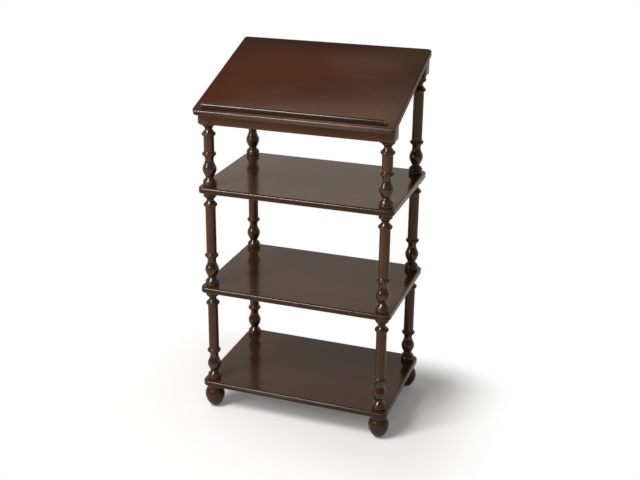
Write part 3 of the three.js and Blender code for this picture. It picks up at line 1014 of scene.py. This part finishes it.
@dataclass
class Spindles:
    """The twelve turned spindles. Sizes are in millimetres."""

    lathe: Lathe
    finish: bpy.types.Material
    sides: int = 72
    ring: float = 20.9          # radius of both rings
    ring_foot: float = 17.2     # radius that they stand on
    ring_half: float = 4.5      # half of their height
    ring_height: float = 97.2   # height of the lower ring's middle
    head: float = 28.4          # from the upper ring's middle to the foot of the collar
    collar: float = 12.5        # height of the collar
    front_collar: float = 1.0   # and of what the short front spindles have of it

    SHAFT: ClassVar[float] = 15.7
    THROAT: ClassVar[float] = 11.2
    # [radius, height] pairs, counted from the foot
    PLINTH: ClassVar[Pairs] = ((19.8, 0.0), (20.4, 0.6), (20.4, 7.8))
    QUIRK: ClassVar[Pairs] = ((20.0, 8.5), (19.7, 9.0))
    BUN: ClassVar[Pairs] = (
        (20.3, 9.7), (20.8, 11.2), (20.7, 12.8), (19.9, 14.7), (18.2, 17.0), (15.8, 19.8), (13.2, 22.7),
    )
    NECK: ClassVar[Pairs] = ((11.7, 24.3), (THROAT, 25.6), (11.5, 26.8), (12.6, 28.0))
    FILLET: ClassVar[Pairs] = ((13.5, 28.0), (13.7, 28.4), (13.7, 29.6), (13.9, 30.0))
    BELLY: ClassVar[Pairs] = (
        (15.2, 32.2), (17.2, 36.6), (19.1, 41.2), (20.5, 45.8), (21.1, 50.5), (20.8, 54.4),
    )
    SHOULDER: ClassVar[Pairs] = (
        (19.6, 58.8), (17.8, 63.0), (15.9, 67.4), (14.3, 72.0), (13.3, 76.4), (13.0, 80.2),
    )
    FLARE: ClassVar[Pairs] = ((13.3, 84.0), (14.2, 87.4), (15.4, 90.2))
    BELOW_RING: ClassVar[Pairs] = ((16.8, 90.6), (17.0, 91.0), (17.0, 92.2))
    ABOVE_RING: ClassVar[Pairs] = ((17.0, 102.2), (17.0, 103.2), (16.6, 103.6))
    SHAFT_FOOT: ClassVar[Pairs] = ((15.9, 104.6), (SHAFT, 106.4))
    CLEAR_START: ClassVar[float] = 106.0    # the shaft is clear of stain and painted shade from here
    # counted from the middle of the upper ring
    CLEAR_END: ClassVar[float] = -9.0       # to here
    SHAFT_END: ClassVar[Pairs] = ((SHAFT, -9.4),)
    SHAFT_HEAD: ClassVar[Pairs] = ((15.9, -7.6), (16.6, -6.6))
    BELOW_UPPER_RING: ClassVar[Pairs] = ((17.0, -6.2), (17.0, -5.0))
    ABOVE_UPPER_RING: ClassVar[Pairs] = ((17.0, 5.0), (17.0, 6.0), (16.2, 6.4))
    BELL: ClassVar[Pairs] = ((14.6, 8.6), (12.6, 11.2), (11.5, 13.4), (THROAT, 15.4))
    # counted from the foot of the collar
    CUP: ClassVar[Pairs] = ((11.6, -10.8), (13.2, -8.2), (15.6, -5.6), (18.0, -3.2), (19.8, -0.9))
    CUP_RIM: ClassVar[Pairs] = ((20.4, 0.4), (20.4, 3.4), (19.9, 5.4))
    COLLAR_FOOT: ClassVar[Pairs] = ((19.3, 5.9), (19.7, 6.4))
    # counted from the head
    COLLAR_HEAD: ClassVar[Pairs] = ((19.7, -0.5), (19.3, 0.0))
    SHORT_HEAD: ClassVar[Pairs] = ((20.3, -0.4), (20.0, 0.0))

    def profile(self, length: float, short: bool) -> Profile:
        """Outline of one spindle.

        Args:
            length: Its whole length.
            short: Whether its cup ends at the head, with no collar above it.

        Returns:
            The outline, with a blind stud bore at each end.
        """
        line = Profile().foot_bore()
        line.to(*self.PLINTH)
        for curve in (self.QUIRK, self.BUN, self.NECK):
            line.through(*curve)
        line.to(*self.FILLET)
        for curve in (self.BELLY, self.SHOULDER, self.FLARE):
            line.through(*curve)
        line.to(*self.BELOW_RING)
        line.bead(self.ring_foot, self.ring, self.ring_height, self.ring_half)
        line.to(*self.ABOVE_RING)
        line.through(*self.SHAFT_FOOT)
        cup = length - (self.front_collar if short else self.collar)
        high = cup - self.head
        line.clear = (self.CLEAR_START, high + self.CLEAR_END)
        line.to(*raised(self.SHAFT_END, high))
        line.through(*raised(self.SHAFT_HEAD, high))
        line.to(*raised(self.BELOW_UPPER_RING, high))
        line.bead(self.ring_foot, self.ring, high, self.ring_half)
        line.to(*raised(self.ABOVE_UPPER_RING, high))
        line.through(*raised(self.BELL, high))
        line.through(*raised(self.CUP, cup))
        if short:
            line.to(*raised(self.SHORT_HEAD, length))
        else:
            line.through(*raised(self.CUP_RIM, cup))
            line.to(*raised(self.COLLAR_FOOT, cup))
            line.to(*raised(self.COLLAR_HEAD, length))
        return line.head_bore(length)

    def build(self) -> None:
        """Turns every spindle in the place of its CAD node."""
        for post in POSTS:
            for tier in TIERS:
                node = f"spindle_{tier}_{post}"
                low, high = span(node)
                short = tier == "upper" and post.startswith("front")
                outline = self.profile((high.z - low.z) / MM, short)
                foot = axis_foot(low, high)
                piece = self.lathe.turn(f"turned_{tier}_{post}", outline, foot, self.sides, self.finish)
                handed_over(piece, [node])


@dataclass
class Feet:
    """Four turned feet on nail glides. Sizes are in millimetres."""

    lathe: Lathe
    finish: bpy.types.Material
    glide_finish: bpy.types.Material
    sides: int = 80
    belly: float = 31.0
    belly_height: float = 41.0
    base: float = 11.0
    base_arris: Pair = (0.6, 0.5)
    lower_power: float = 1.8
    lower_steps: int = 40
    upper_steps: int = 18
    cove: float = 1.2
    collar: float = 23.8
    collar_start: float = 59.0
    collar_arris: float = 0.5
    nail_bore: float = 1.9
    nail_depth: float = 14.7
    glide_sides: int = 40
    glide_radius: float = 7.4
    glide_thickness: float = 2.7
    glide_arris: float = 0.3
    nail: float = 1.5
    nail_point: float = 2.0

    # pairs counted from the collar's radius and start
    COVE_FOOT: ClassVar[Pair] = (-0.6, 0.5)
    COVE: ClassVar[Pairs] = ((-1.0, 1.6), (-0.3, 3.2))
    COLLAR_FOOT: ClassVar[Pair] = (0.0, 4.6)
    # pairs counted from the glide's radius and sole
    SOLE_EDGE: ClassVar[Pair] = (-1.6, 0.0)
    DOME: ClassVar[Pairs] = ((-0.7, 0.25), (-0.15, 0.8), (0.0, 1.5))

    def foot_profile(self, length: float) -> Profile:
        """Outline of a foot: an egg-shaped ball on a small base, a cove and a collar.

        Args:
            length: Height of the foot.

        Returns:
            The outline.
        """

        def beside(pair: Pair) -> Pair:
            """A pair that is counted from the collar's radius and start."""
            return (self.collar + pair[0], self.collar_start + pair[1])

        inner, start = self.base_arris
        line = Profile()
        line.to((0.0, self.nail_depth), (self.nail_bore, self.nail_depth), (self.nail_bore, 0.0))
        line.to((self.base - inner, 0.0), (self.base, start))
        power = self.lower_power
        reach = (1.0 - (self.base / self.belly) ** power) ** (1.0 / power)
        for i in range(1, self.lower_steps + 1):
            drop = reach * (1.0 - i / self.lower_steps)
            radius = self.belly * (1.0 - drop ** power) ** (1.0 / power)
            line.to((radius, start + (self.belly_height - start) * i / self.lower_steps))
        end = math.acos((self.collar + self.cove) / self.belly)
        for i in range(1, self.upper_steps + 1):
            angle = end * i / self.upper_steps
            rise = (self.collar_start - self.belly_height) * (math.sin(angle) / math.sin(end))
            line.to((self.belly * math.cos(angle), self.belly_height + rise))
        line.to(beside(self.COVE_FOOT))
        line.through(*(beside(pair) for pair in self.COVE))
        line.through(beside(self.COLLAR_FOOT))
        line.to((self.collar, length - self.collar_arris), (self.collar - self.collar_arris, length))
        return line.head_bore(length)

    def glide_profile(self, tip: float) -> Profile:
        """Outline of a nail glide: a domed disc and its nail.

        Args:
            tip: Height of the nail's tip.

        Returns:
            The outline.
        """
        radius, top = self.glide_radius, self.glide_thickness
        line = Profile()
        line.to((0.0, 0.0), (radius + self.SOLE_EDGE[0], self.SOLE_EDGE[1]))
        line.through(*((radius + out, height) for out, height in self.DOME))
        line.to((radius, top - self.glide_arris), (radius - self.glide_arris, top))
        line.to((self.nail, top), (self.nail, tip - self.nail_point), (0.0, tip))
        return line

    def build(self) -> None:
        """Turns the feet and the glides in the place of their CAD nodes."""
        for post in POSTS:
            low, high = span(f"foot_{post}")
            axis = axis_foot(low, high)
            outline = self.foot_profile((high.z - low.z) / MM)
            foot = self.lathe.turn(f"turned_foot_{post}", outline, axis, self.sides, self.finish)
            handed_over(foot, [f"foot_{post}"])
            sole, tip = span(f"glide_{post}")
            outline = self.glide_profile((tip.z - sole.z) / MM)
            ground = Vector((axis.x, axis.y, sole.z))
            name = f"nail_glide_{post}"
            glide = self.lathe.turn(name, outline, ground, self.glide_sides, self.glide_finish)
            handed_over(glide, [f"glide_{post}"])


@dataclass
class MouldedBoard:
    """A board with rounded corners and a moulded edge. Sizes are in millimetres."""

    width: float
    depth: float
    thickness: float
    corner: float
    wear: float = 0.65          # relief of the bead's crest
    corner_steps: int = 16
    least_corner: float = 1.0
    reach: float = 3.0          # inset of the field
    quirk: float = 2.5          # depth of the quirk below the field
    bead_height: float = 5.0
    bead_foot: float = 2.2      # inset of the bead's edges
    bead_crest: float = 0.2     # inset of its crest
    bead_steps: int = 14
    bead_lean: float = 0.5      # its wear lies this many radians above the crest
    groove: float = 1.4         # height of the groove below the bead
    face: float = 0.7           # inset of the face
    under: float = 3.0          # radius of the rolled underside
    under_steps: int = 8
    under_wear: float = 0.4     # relief of the roll
    field: float = 14.0         # flat strip beside the moulding

    # Negative relief below darkens the face, the grooves by the bead and the quirk with painted shade.
    BEAD_EDGE: ClassVar[float] = -0.8   # relief where the bead meets its grooves
    # [inset, height, relief] of lines of the moulding, counted from corners that edge() gives
    FACE_FOOT: ClassVar[Triples] = ((0.0, 0.6, -0.25),)
    FACE_HEAD: ClassVar[Triples] = ((0.0, -0.4, -0.35), (0.12, 0.0, -0.1))
    BELOW_BEAD: ClassVar[Triples] = ((0.0, -0.3, -1.0),)
    ABOVE_BEAD: ClassVar[Triples] = ((0.3, -0.4, -1.0),)
    QUIRK_FLOOR: ClassVar[Triples] = ((0.0, -0.3, -1.0),)
    FIELD_EDGE: ClassVar[Triples] = ((0.0, -0.7, -0.6), (0.16, -0.2, 0.35), (0.6, 0.0, 0.3), (2.2, 0.0, 0.0))

    def edge(self) -> list[Triple]:
        """The moulded edge from the underside to the field.

        Returns:
            Inset, height and relief of each line of the moulding.
        """

        def counted(part: Triples, inset: float, height: float) -> list[Triple]:
            """Lines of the moulding, moved to the corner that they are counted from."""
            return [(inset + across, height + above, relief) for across, above, relief in part]

        lines = [(self.face + self.under + self.field, 0.0, 0.0)]
        for i in range(self.under_steps + 1):
            angle = QUARTER * i / self.under_steps
            inset = self.face + self.under * (1.0 - math.sin(angle))
            height = self.under * (1.0 - math.cos(angle))
            lines.append((inset, height, self.under_wear * math.sin(2.0 * angle)))
        ledge = self.thickness - self.quirk
        start = ledge - self.bead_height
        lines += counted(self.FACE_FOOT, self.face, self.under)
        lines += counted(self.FACE_HEAD, self.face, start - self.groove)
        lines += counted(self.BELOW_BEAD, self.bead_foot, start)
        half = self.bead_height / 2
        for i in range(self.bead_steps + 1):
            angle = math.pi * (i / self.bead_steps - 0.5)
            inset = self.bead_foot + (self.bead_crest - self.bead_foot) * math.cos(angle)
            inside = 0 < i < self.bead_steps
            relief = self.wear * math.cos(angle - self.bead_lean) if inside else self.BEAD_EDGE
            lines.append((inset, start + half + half * math.sin(angle), relief))
        lines += counted(self.ABOVE_BEAD, self.bead_foot, ledge)
        lines += counted(self.QUIRK_FLOOR, self.reach, ledge)
        lines += counted(self.FIELD_EDGE, self.reach, self.thickness)
        lines.append((self.reach + self.field, self.thickness, 0.0))
        return lines

    def ring(self, inset: float) -> list[Pair]:
        """A rounded rectangle inside the board's outline, counter-clockwise.

        Args:
            inset: Distance from the outline.

        Returns:
            The points of the ring.
        """
        radius = max(self.corner - inset, self.least_corner)
        half_x, half_y = self.width / 2 - inset - radius, self.depth / 2 - inset - radius
        points = []
        for quarter, (sign_x, sign_y) in enumerate(((1, 1), (-1, 1), (-1, -1), (1, -1))):
            for i in range(self.corner_steps + 1):
                angle = (quarter + i / self.corner_steps) * math.pi / 2
                x = sign_x * half_x + radius * math.cos(angle)
                y = sign_y * half_y + radius * math.sin(angle)
                points.append((x, y))
        return points

    def mesh(self, name: str, place: Matrix, finish: bpy.types.Material) -> bpy.types.Mesh:
        """Builds the board.

        Args:
            name: The mesh's name.
            place: Where the middle of the underside goes, in metres.
            finish: Its material.

        Returns:
            The closed mesh.
        """
        work = bmesh.new()
        layer = work.verts.layers.float.new(RELIEF)
        rings = []
        for inset, height, relief in self.edge():
            points = [Vector((x * MM, y * MM, height * MM)) for x, y in self.ring(inset)]
            ring = [work.verts.new(place @ point) for point in points]
            for vert in ring:
                vert[layer] = relief
            rings.append(ring)
        skinned(work, rings)
        work.faces.new(list(reversed(rings[0])))
        work.faces.new(rings[-1])
        return mesh_of(work, name, finish)


@dataclass
class Shelves:
    """The three shelves. Sizes are in millimetres."""

    finish: bpy.types.Material
    corner: float = 20.0

    def build(self) -> None:
        """Builds each shelf in the place of its CAD node."""
        for tier in TIERS:
            low, high = span(f"{tier}_shelf")
            size = (high - low) / MM
            board = MouldedBoard(size.x, size.y, size.z, self.corner)
            place = Matrix.Translation(axis_foot(low, high))
            name = f"{tier}_shelf_board"
            piece = new_object(name, board.mesh(name, place, self.finish))
            handed_over(piece, [f"{tier}_shelf"])


@dataclass
class ReadingTop:
    """The sloped top and its book ledge. Sizes are in millimetres."""

    finish: bpy.types.Material
    ledge_finish: bpy.types.Material
    width: float = 601.0
    depth: float = 432.0
    thickness: float = 19.0
    front_reach: float = 48.5
    corner: float = 12.0
    wear: float = 0.8
    seat_gap: float = 0.3
    ledge_length: float = 546.0
    ledge_height: float = 16.5
    ledge_depth: float = 10.0
    ledge_setback: float = 8.0
    ledge_end: float = 8.0
    ledge_end_steps: int = 12
    ledge_arris: float = 2.4
    ledge_segments: int = 4

    def slope(self) -> Matrix:
        """The slope's own frame.

        Returns:
            A matrix whose origin is on the planed seat at the front posts, with +Y up the slope.
        """
        low, high = span("block_front_left")
        middle = (low.y + high.y) / 2
        seat = high.z - (high.y - middle) * math.tan(TOP_TILT)
        return Matrix.Translation((0.0, middle, seat)) @ Matrix.Rotation(TOP_TILT, 4, "X")

    def ledge_mesh(self, name: str, place: Matrix) -> bpy.types.Mesh:
        """Builds the strip of the book ledge with rounded upper ends.

        Args:
            name: The mesh's name.
            place: The slope's frame.

        Returns:
            The strip before its edges are eased.
        """
        half, end = self.ledge_length / 2, self.ledge_end
        outline = [(-half, 0.0), (half, 0.0)]
        for sign, start in ((1, 0.0), (-1, QUARTER)):
            for i in range(self.ledge_end_steps + 1):
                angle = start + QUARTER * i / self.ledge_end_steps
                x = sign * (half - end) + end * math.cos(angle)
                outline.append((x, self.ledge_height - end + end * math.sin(angle)))
        front = self.ledge_setback - self.front_reach
        base = self.thickness + 2 * self.seat_gap
        work = bmesh.new()
        sides = []
        for y in (front, front + self.ledge_depth):
            points = [Vector((x * MM, y * MM, (base + z) * MM)) for x, z in outline]
            sides.append([work.verts.new(place @ point) for point in points])
        work.faces.new(sides[0])
        work.faces.new(list(reversed(sides[1])))
        skinned(work, sides)
        return mesh_of(work, name, self.ledge_finish)

    def build(self) -> None:
        """Builds the top and the ledge in the place of their CAD nodes."""
        slope = self.slope()
        board = MouldedBoard(self.width, self.depth, self.thickness, self.corner, self.wear)
        centre = Vector((0.0, (self.depth / 2 - self.front_reach) * MM, self.seat_gap * MM))
        place = slope @ Matrix.Translation(centre)
        top = new_object("reading_top", board.mesh("reading_top", place, self.finish))
        handed_over(top, ["top_panel"])
        ledge = new_object("ledge_strip", self.ledge_mesh("ledge_strip", slope))
        eased(ledge, self.ledge_arris, self.ledge_segments)
        handed_over(ledge, ["book_ledge"])


@dataclass
class Underframe:
    """The four corner blocks and the two rails under the top. Sizes are in millimetres."""

    rail_finish: bpy.types.Material
    block_finish: bpy.types.Material
    chamfer: float = 5.0
    block_arris: float = 0.8
    rail_arris: float = 1.3
    arris_segments: int = 3

    def planed(self, low: Vector, high: Vector, chamfer: float) -> bmesh.types.BMesh:
        """A box whose top follows the slope and whose lower edges may be chamfered.

        Args:
            low: Lowest corner of the piece.
            high: Highest corner of the piece.
            chamfer: Size of the chamfer round the foot, in millimetres, or 0.

        Returns:
            The bmesh.
        """
        work = bmesh.new()
        cut = chamfer * MM
        fall = math.tan(TOP_TILT)
        foot = (cut, lambda y: low.z)
        sides = (0.0, lambda y: low.z + cut)
        seat = (0.0, lambda y: high.z - (high.y - y) * fall)
        rings = []
        for inset, height in (foot, sides, seat) if chamfer else (sides, seat):
            corners = (
                (low.x + inset, low.y + inset),
                (high.x - inset, low.y + inset),
                (high.x - inset, high.y - inset),
                (low.x + inset, high.y - inset),
            )
            rings.append([work.verts.new((x, y, height(y))) for x, y in corners])
        work.faces.new(list(reversed(rings[0])))
        work.faces.new(rings[-1])
        skinned(work, rings)
        return work

    def build(self) -> None:
        """Builds the blocks and rails in the place of their CAD nodes."""
        blocks = [(f"corner_block_{post}", f"block_{post}") for post in POSTS]
        rails = [(f"{side}_rail_board", f"{side}_rail") for side in ("front", "rear")]
        kinds = (
            (blocks, self.chamfer, self.block_arris, self.block_finish),
            (rails, 0.0, self.rail_arris, self.rail_finish),
        )
        for pieces, chamfer, arris, finish in kinds:
            for name, node in pieces:
                low, high = span(node)
                piece = new_object(name, mesh_of(self.planed(low, high, chamfer), name, finish))
                eased(piece, arris, self.arris_segments)
                handed_over(piece, [node])


class ScrewSetter(PieceGroup):
    """A geometry group that sets one screw on each point."""

    SEED = 7

    def __init__(self) -> None:
        """Builds the group."""
        kinds = {"Screw": "NodeSocketObject", "Lean": "NodeSocketFloat"}
        super().__init__("screws on points", "Points", kinds)
        net, points = self.net, self.source
        given = {"Object": points.out("Screw")}
        screw = net.add("GeometryNodeObjectInfo", {"transform_space": "ORIGINAL"}, given, "Geometry")
        index = net.add("GeometryNodeInputIndex")
        draw = {2: 0.0, 3: QUARTER, "ID": index, "Seed": self.SEED}
        spin = net.add("FunctionNodeRandomValue", {"data_type": "FLOAT"}, draw, 1)
        turn = net.add("ShaderNodeCombineXYZ", None, {0: points.out("Lean"), 2: spin})
        rotation = net.add("FunctionNodeEulerToRotation", None, {0: turn})
        placed = {"Points": points, "Instance": screw, "Rotation": rotation}
        self.end(net.add("GeometryNodeInstanceOnPoints", None, placed))


@dataclass
class Fasteners:
    """Screws with a cross recess, and the finishes of the hidden studs and dowels.

    Sizes are in millimetres.
    """

    finishes: Finishes
    head_radius: float = 4.0
    head_height: float = 2.5
    head_arris: float = 0.6
    head_side: float = 1.2
    shank_radius: float = 1.9
    neck: float = 0.3
    point: float = 6.0
    recess_length: float = 2.3
    recess_width: float = 0.55
    recess_depth: float = 1.3
    recess_taper: float = 0.7
    sides: int = 24

    def screw_mesh(self, length: float) -> bpy.types.Mesh:
        """One screw with its head down and a cross recess in the head.

        Args:
            length: Its whole length.

        Returns:
            The screw about the Z axis, with the head's face at zero.
        """
        line, half, taper = self.recess_length, self.recess_width, self.recess_taper
        cross = [
            (half, half), (half, line), (-half, line), (-half, half), (-line, half), (-line, -half),
            (-half, -half), (-half, -line), (half, -line), (half, -half), (line, -half), (line, half),
        ]
        work = bmesh.new()

        def ring(radius: float, height: float) -> Ring:
            """Adds a circle of points.

            Args:
                radius: Its radius.
                height: Its height.

            Returns:
                The points.
            """
            turns = [math.tau * i / self.sides for i in range(self.sides)]
            points = [(radius * math.cos(a) * MM, radius * math.sin(a) * MM, height * MM) for a in turns]
            return [work.verts.new(point) for point in points]

        rim = [work.verts.new((x * MM, y * MM, 0.0)) for x, y in cross]
        floor = [work.verts.new((x * taper * MM, y * taper * MM, self.recess_depth * MM)) for x, y in cross]
        stack = [
            ring(self.head_radius - self.head_arris, 0.0),
            ring(self.head_radius, self.head_arris),
            ring(self.head_radius, self.head_side),
            ring(self.shank_radius + self.neck, self.head_height),
            ring(self.shank_radius, length - self.point),
        ]
        edges = []
        for loop in (rim, stack[0]):
            edges += [work.edges.new((loop[i], loop[(i + 1) % len(loop)])) for i in range(len(loop))]
        bmesh.ops.triangle_fill(work, edges=edges, use_beauty=True, use_dissolve=False)
        skinned(work, [rim, floor])
        skinned(work, stack)
        work.faces.new(floor)
        tip = work.verts.new((0.0, 0.0, length * MM))
        for i, vert in enumerate(stack[-1]):
            work.faces.new((vert, stack[-1][(i + 1) % self.sides], tip))
        return mesh_of(work, "screw", self.finishes.screw)

    def rise(self, lean: float) -> float:
        """How far the head's middle lies above its lowest point, in metres, on a leaning screw."""
        return self.head_radius * MM * math.sin(lean)

    def head_point(self, node: str, lean: float) -> Vector:
        """The middle of the face of a screw's head.

        Args:
            node: The screw's CAD node.
            lean: How far it leans back about X, in radians.

        Returns:
            The point on its axis.
        """
        low, high = span(node)
        middle = (low + high) / 2
        axis = Vector((0.0, -math.sin(lean), math.cos(lean)))
        foot = low.z + self.rise(lean)
        along = (middle.z - foot) / axis.z
        return Vector((middle.x, middle.y, foot)) - Vector((0.0, axis.y * along, 0.0))

    def screws(self, setter: ScrewSetter, name: str, nodes: Sequence[str], lean: float) -> None:
        """Sets a group of like screws in the place of their CAD nodes.

        Args:
            setter: The geometry group that sets them.
            name: The piece's name.
            nodes: The screws' CAD nodes.
            lean: How far they lean back about X, in radians.
        """
        low, high = span(nodes[0])
        length = (high.z - low.z - self.rise(lean)) / math.cos(lean) / MM
        template = new_object("screw_template", self.screw_mesh(length))
        mesh = bpy.data.meshes.new(name)
        mesh.from_pydata([tuple(self.head_point(node, lean)) for node in nodes], [], [])
        piece = new_object(name, mesh)
        setter.run(piece, {"Screw": template, "Lean": lean, "Finish": self.finishes.screw}, CREASE)
        bpy.data.objects.remove(template)
        handed_over(piece, nodes)

    def build(self) -> None:
        """Sets the screws, and dresses the studs and dowels."""
        setter = ScrewSetter()
        self.screws(setter, "panel_screws", [f"panel_screw_{post}" for post in POSTS], 0.0)
        ledge_nodes = [f"ledge_screw_{place}" for place in ("left", "middle", "right")]
        self.screws(setter, "ledge_screws", ledge_nodes, TOP_TILT)
        hidden = {"stud_": self.finishes.stud, "rail_dowel_": self.finishes.dowel}
        for node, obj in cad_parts.items():
            for start, finish in hidden.items():
                if node.startswith(start):
                    for slot in obj.material_slots:
                        slot.material = finish
                    LOG.info("%s keeps its CAD shape and gets %s", node, finish.name)


@dataclass(frozen=True)
class Lamp:
    """A soft square lamp.

    Attributes:
        name: The lamp's name.
        place: Where it hangs, in metres.
        aim: What it points at, in metres.
        size: Width of its face in metres.
        watts: Its power.
        tint: Its colour.
    """

    name: str
    place: Triple
    aim: Triple
    size: float
    watts: float
    tint: Colour = (1.0, 0.985, 0.96)

    def hang(self) -> None:
        """Adds the lamp to the scene."""
        data = bpy.data.lights.new(self.name, "AREA")
        data.shape = "SQUARE"
        data.size = self.size
        data.energy = self.watts
        data.color = self.tint
        lamp = bpy.data.objects.new(self.name, data)
        lamp.location = self.place
        lamp.rotation_mode = "QUATERNION"
        lamp.rotation_quaternion = (Vector(self.aim) - Vector(self.place)).to_track_quat("-Z", "Y")
        bpy.context.scene.collection.objects.link(lamp)


@dataclass
class Studio:
    """Pale floor, soft light and the camera. Lengths are in metres and angles in degrees."""

    target: Triple = (-0.09536, 0.00925, 0.60409)
    azimuth: float = 20.656
    elevation: float = 20.133
    distance: float = 3.2789
    focal_px: float = 1058.86
    centre_px: Pair = (285.0, 217.2)
    image_px: Pair = (640.0, 480.0)
    sensor_mm: float = 36.0
    lamps: tuple[Lamp, ...] = (
        Lamp("soft_box", place=(-1.05, -1.8, 2.9), aim=(0.0, 0.0, 0.5), size=1.2, watts=87.0),
        Lamp("low_box", place=(-1.75, -2.3, 1.75), aim=(0.0, 0.0, 0.6), size=0.8, watts=25.0),
    )

    WHITE: ClassVar[Colour] = (1.0, 1.0, 1.0)
    FLOOR_HALF: ClassVar[float] = 9.0
    FOOTPRINT: ClassVar[Pair] = (0.3, 0.2)          # half of the width and depth that don't fade
    FADE: ClassVar[Triple] = (1.2, 1.8, 1.0)        # how fast it fades to the sides, behind and in front
    FADE_SPAN: ClassVar[Pair] = (0.04, 0.4)
    FADE_LEAST: ClassVar[float] = 0.1               # share of white under the stand
    MOTTLE: ClassVar[Noise] = Noise((6.0, 6.0, 6.0), 3.0)
    PAPER: ClassVar[tuple[Colour, Colour]] = ((0.9, 0.885, 0.875), (0.93, 0.915, 0.905))
    MIRRORED_FLOOR: ClassVar[Colour] = (1.0, 0.82, 0.66)
    MIRRORED_ROOM: ClassVar[Colour] = (1.0, 0.89, 0.78)
    BACKDROP: ClassVar[Pair] = (-0.25, 0.5)         # the mirrored room brightens from front to rear
    CEILING: ClassVar[Pair] = (0.47, 0.8)           # and darkens overhead
    MIRRORED: ClassVar[Pair] = (0.16, 0.72)         # its least light, and what the backdrop adds
    FILL: ClassVar[Triple] = (0.15, 0.42, 0.3)      # diffuse light all round, from the left and from behind
    LEFT: ClassVar[Pair] = (-0.8, 0.5)
    LEFT_SPAN: ClassVar[Pair] = (-0.3, 0.8)
    BEHIND_SPAN: ClassVar[Pair] = (0.2, 0.9)

    def camera(self) -> None:
        """Sets the camera at the photograph's angle and framing."""
        az, el = math.radians(self.azimuth), math.radians(self.elevation)
        back = Vector((math.sin(az) * math.cos(el), -math.cos(az) * math.cos(el), math.sin(el)))
        data = bpy.data.cameras.new("camera")
        data.sensor_width = self.sensor_mm
        data.lens = self.focal_px * self.sensor_mm / self.image_px[0]
        data.shift_x = 0.5 - self.centre_px[0] / self.image_px[0]
        data.shift_y = (self.centre_px[1] - self.image_px[1] / 2) / self.image_px[0]
        camera = bpy.data.objects.new("camera", data)
        camera.location = Vector(self.target) + back * self.distance
        camera.rotation_mode = "QUATERNION"
        camera.rotation_quaternion = (-back).to_track_quat("-Z", "Y")
        bpy.context.scene.collection.objects.link(camera)
        bpy.context.scene.camera = camera

    def floor(self) -> None:
        """Lays a pale floor that fades to white away from the stand, and mirrors a little warmer."""
        work = bmesh.new()
        half = self.FLOOR_HALF
        corners = [(-half, -half), (half, -half), (half, half), (-half, half)]
        work.faces.new([work.verts.new((x, y, 0.0)) for x, y in corners])
        material, net = new_material("studio_floor")
        place = net.place()
        parts = net.add("ShaderNodeSeparateXYZ", None, {0: place})
        side, behind, front = self.FADE
        beside = ((parts.out(0) * parts.out(0)) ** 0.5 - self.FOOTPRINT[0]).at_least(0.0)
        rear = (parts.out(1) - self.FOOTPRINT[1]).at_least(0.0)
        fore = (parts.out(1) * -1.0 - self.FOOTPRINT[1]).at_least(0.0)
        x = beside * side
        y = rear * behind + fore * front
        whitening = ((x * x + y * y) ** 0.5).ramp(*self.FADE_SPAN)
        away = whitening * (1.0 - self.FADE_LEAST) + self.FADE_LEAST
        sheet = net.blend(net.noise(place, self.MOTTLE), *self.PAPER)
        paper = net.add("ShaderNodeBsdfDiffuse", None, {"Color": sheet})
        path = net.add("ShaderNodeLightPath")
        glossy = path.out("Is Glossy Ray")
        seen = (path.out("Is Camera Ray") + glossy + path.out("Is Transmission Ray")).at_most(1.0)
        tint = net.blend(glossy, self.WHITE, self.MIRRORED_FLOOR)
        white = net.add("ShaderNodeEmission", None, {"Color": tint, "Strength": 1.0})
        mixed = net.add("ShaderNodeMixShader", None, {0: away * seen, 1: paper, 2: white})
        net.add("ShaderNodeOutputMaterial", None, {"Surface": mixed})
        floor = new_object("floor", mesh_of(work, "floor", material))

    def world(self) -> None:
        """Surrounds the stand with a white room, which mirrors dimmer in front and overhead."""
        world = bpy.data.worlds.new("studio")
        world.use_nodes = True
        world.node_tree.nodes.clear()
        net = Net(world.node_tree)
        place = net.add("ShaderNodeTexCoord", out="Generated")
        parts = net.add("ShaderNodeSeparateXYZ", None, {0: place})
        path = net.add("ShaderNodeLightPath")
        watched = path.out("Is Camera Ray").at_least(path.out("Is Transmission Ray"))
        glossy = path.out("Is Glossy Ray")
        other = (1.0 - watched) * (1.0 - glossy)
        backdrop = parts.out(1).ramp(*self.BACKDROP) * (1.0 - parts.out(2).ramp(*self.CEILING))
        mirrored = self.MIRRORED[0] + backdrop * self.MIRRORED[1]
        left = (parts.out(0) * self.LEFT[0] - parts.out(1) * self.LEFT[1]).ramp(*self.LEFT_SPAN)
        behind = parts.out(1).ramp(*self.BEHIND_SPAN)
        fill = self.FILL[0] + left * self.FILL[1] + behind * self.FILL[2]
        level = watched + glossy * mirrored + other * fill
        tint = net.blend(glossy, self.WHITE, self.MIRRORED_ROOM)
        light = net.add("ShaderNodeBackground", None, {"Color": tint, "Strength": level})
        net.add("ShaderNodeOutputWorld", None, {"Surface": light})
        bpy.context.scene.world = world

    def build(self) -> None:
        """Sets up the camera, floor, world and lamps."""
        self.camera()
        self.floor()
        self.world()
        for lamp in self.lamps:
            lamp.hang()
        bpy.context.scene.view_settings.view_transform = "Standard"


def main() -> None:
    """Sets up the studio, and builds and dresses the stand."""
    logging.basicConfig(level=logging.INFO, format="%(message)s")
    Studio().build()
    finishes = Finishes.mixed()
    lathe = Lathe()
    Spindles(lathe, finishes.turned).build()
    Feet(lathe, finishes.foot, finishes.glide).build()
    Shelves(finishes.shelf).build()
    ReadingTop(finishes.top, finishes.ledge).build()
    Underframe(finishes.rail, finishes.block).build()
    Fasteners(finishes).build()


if __name__ == "__main__":
    main()
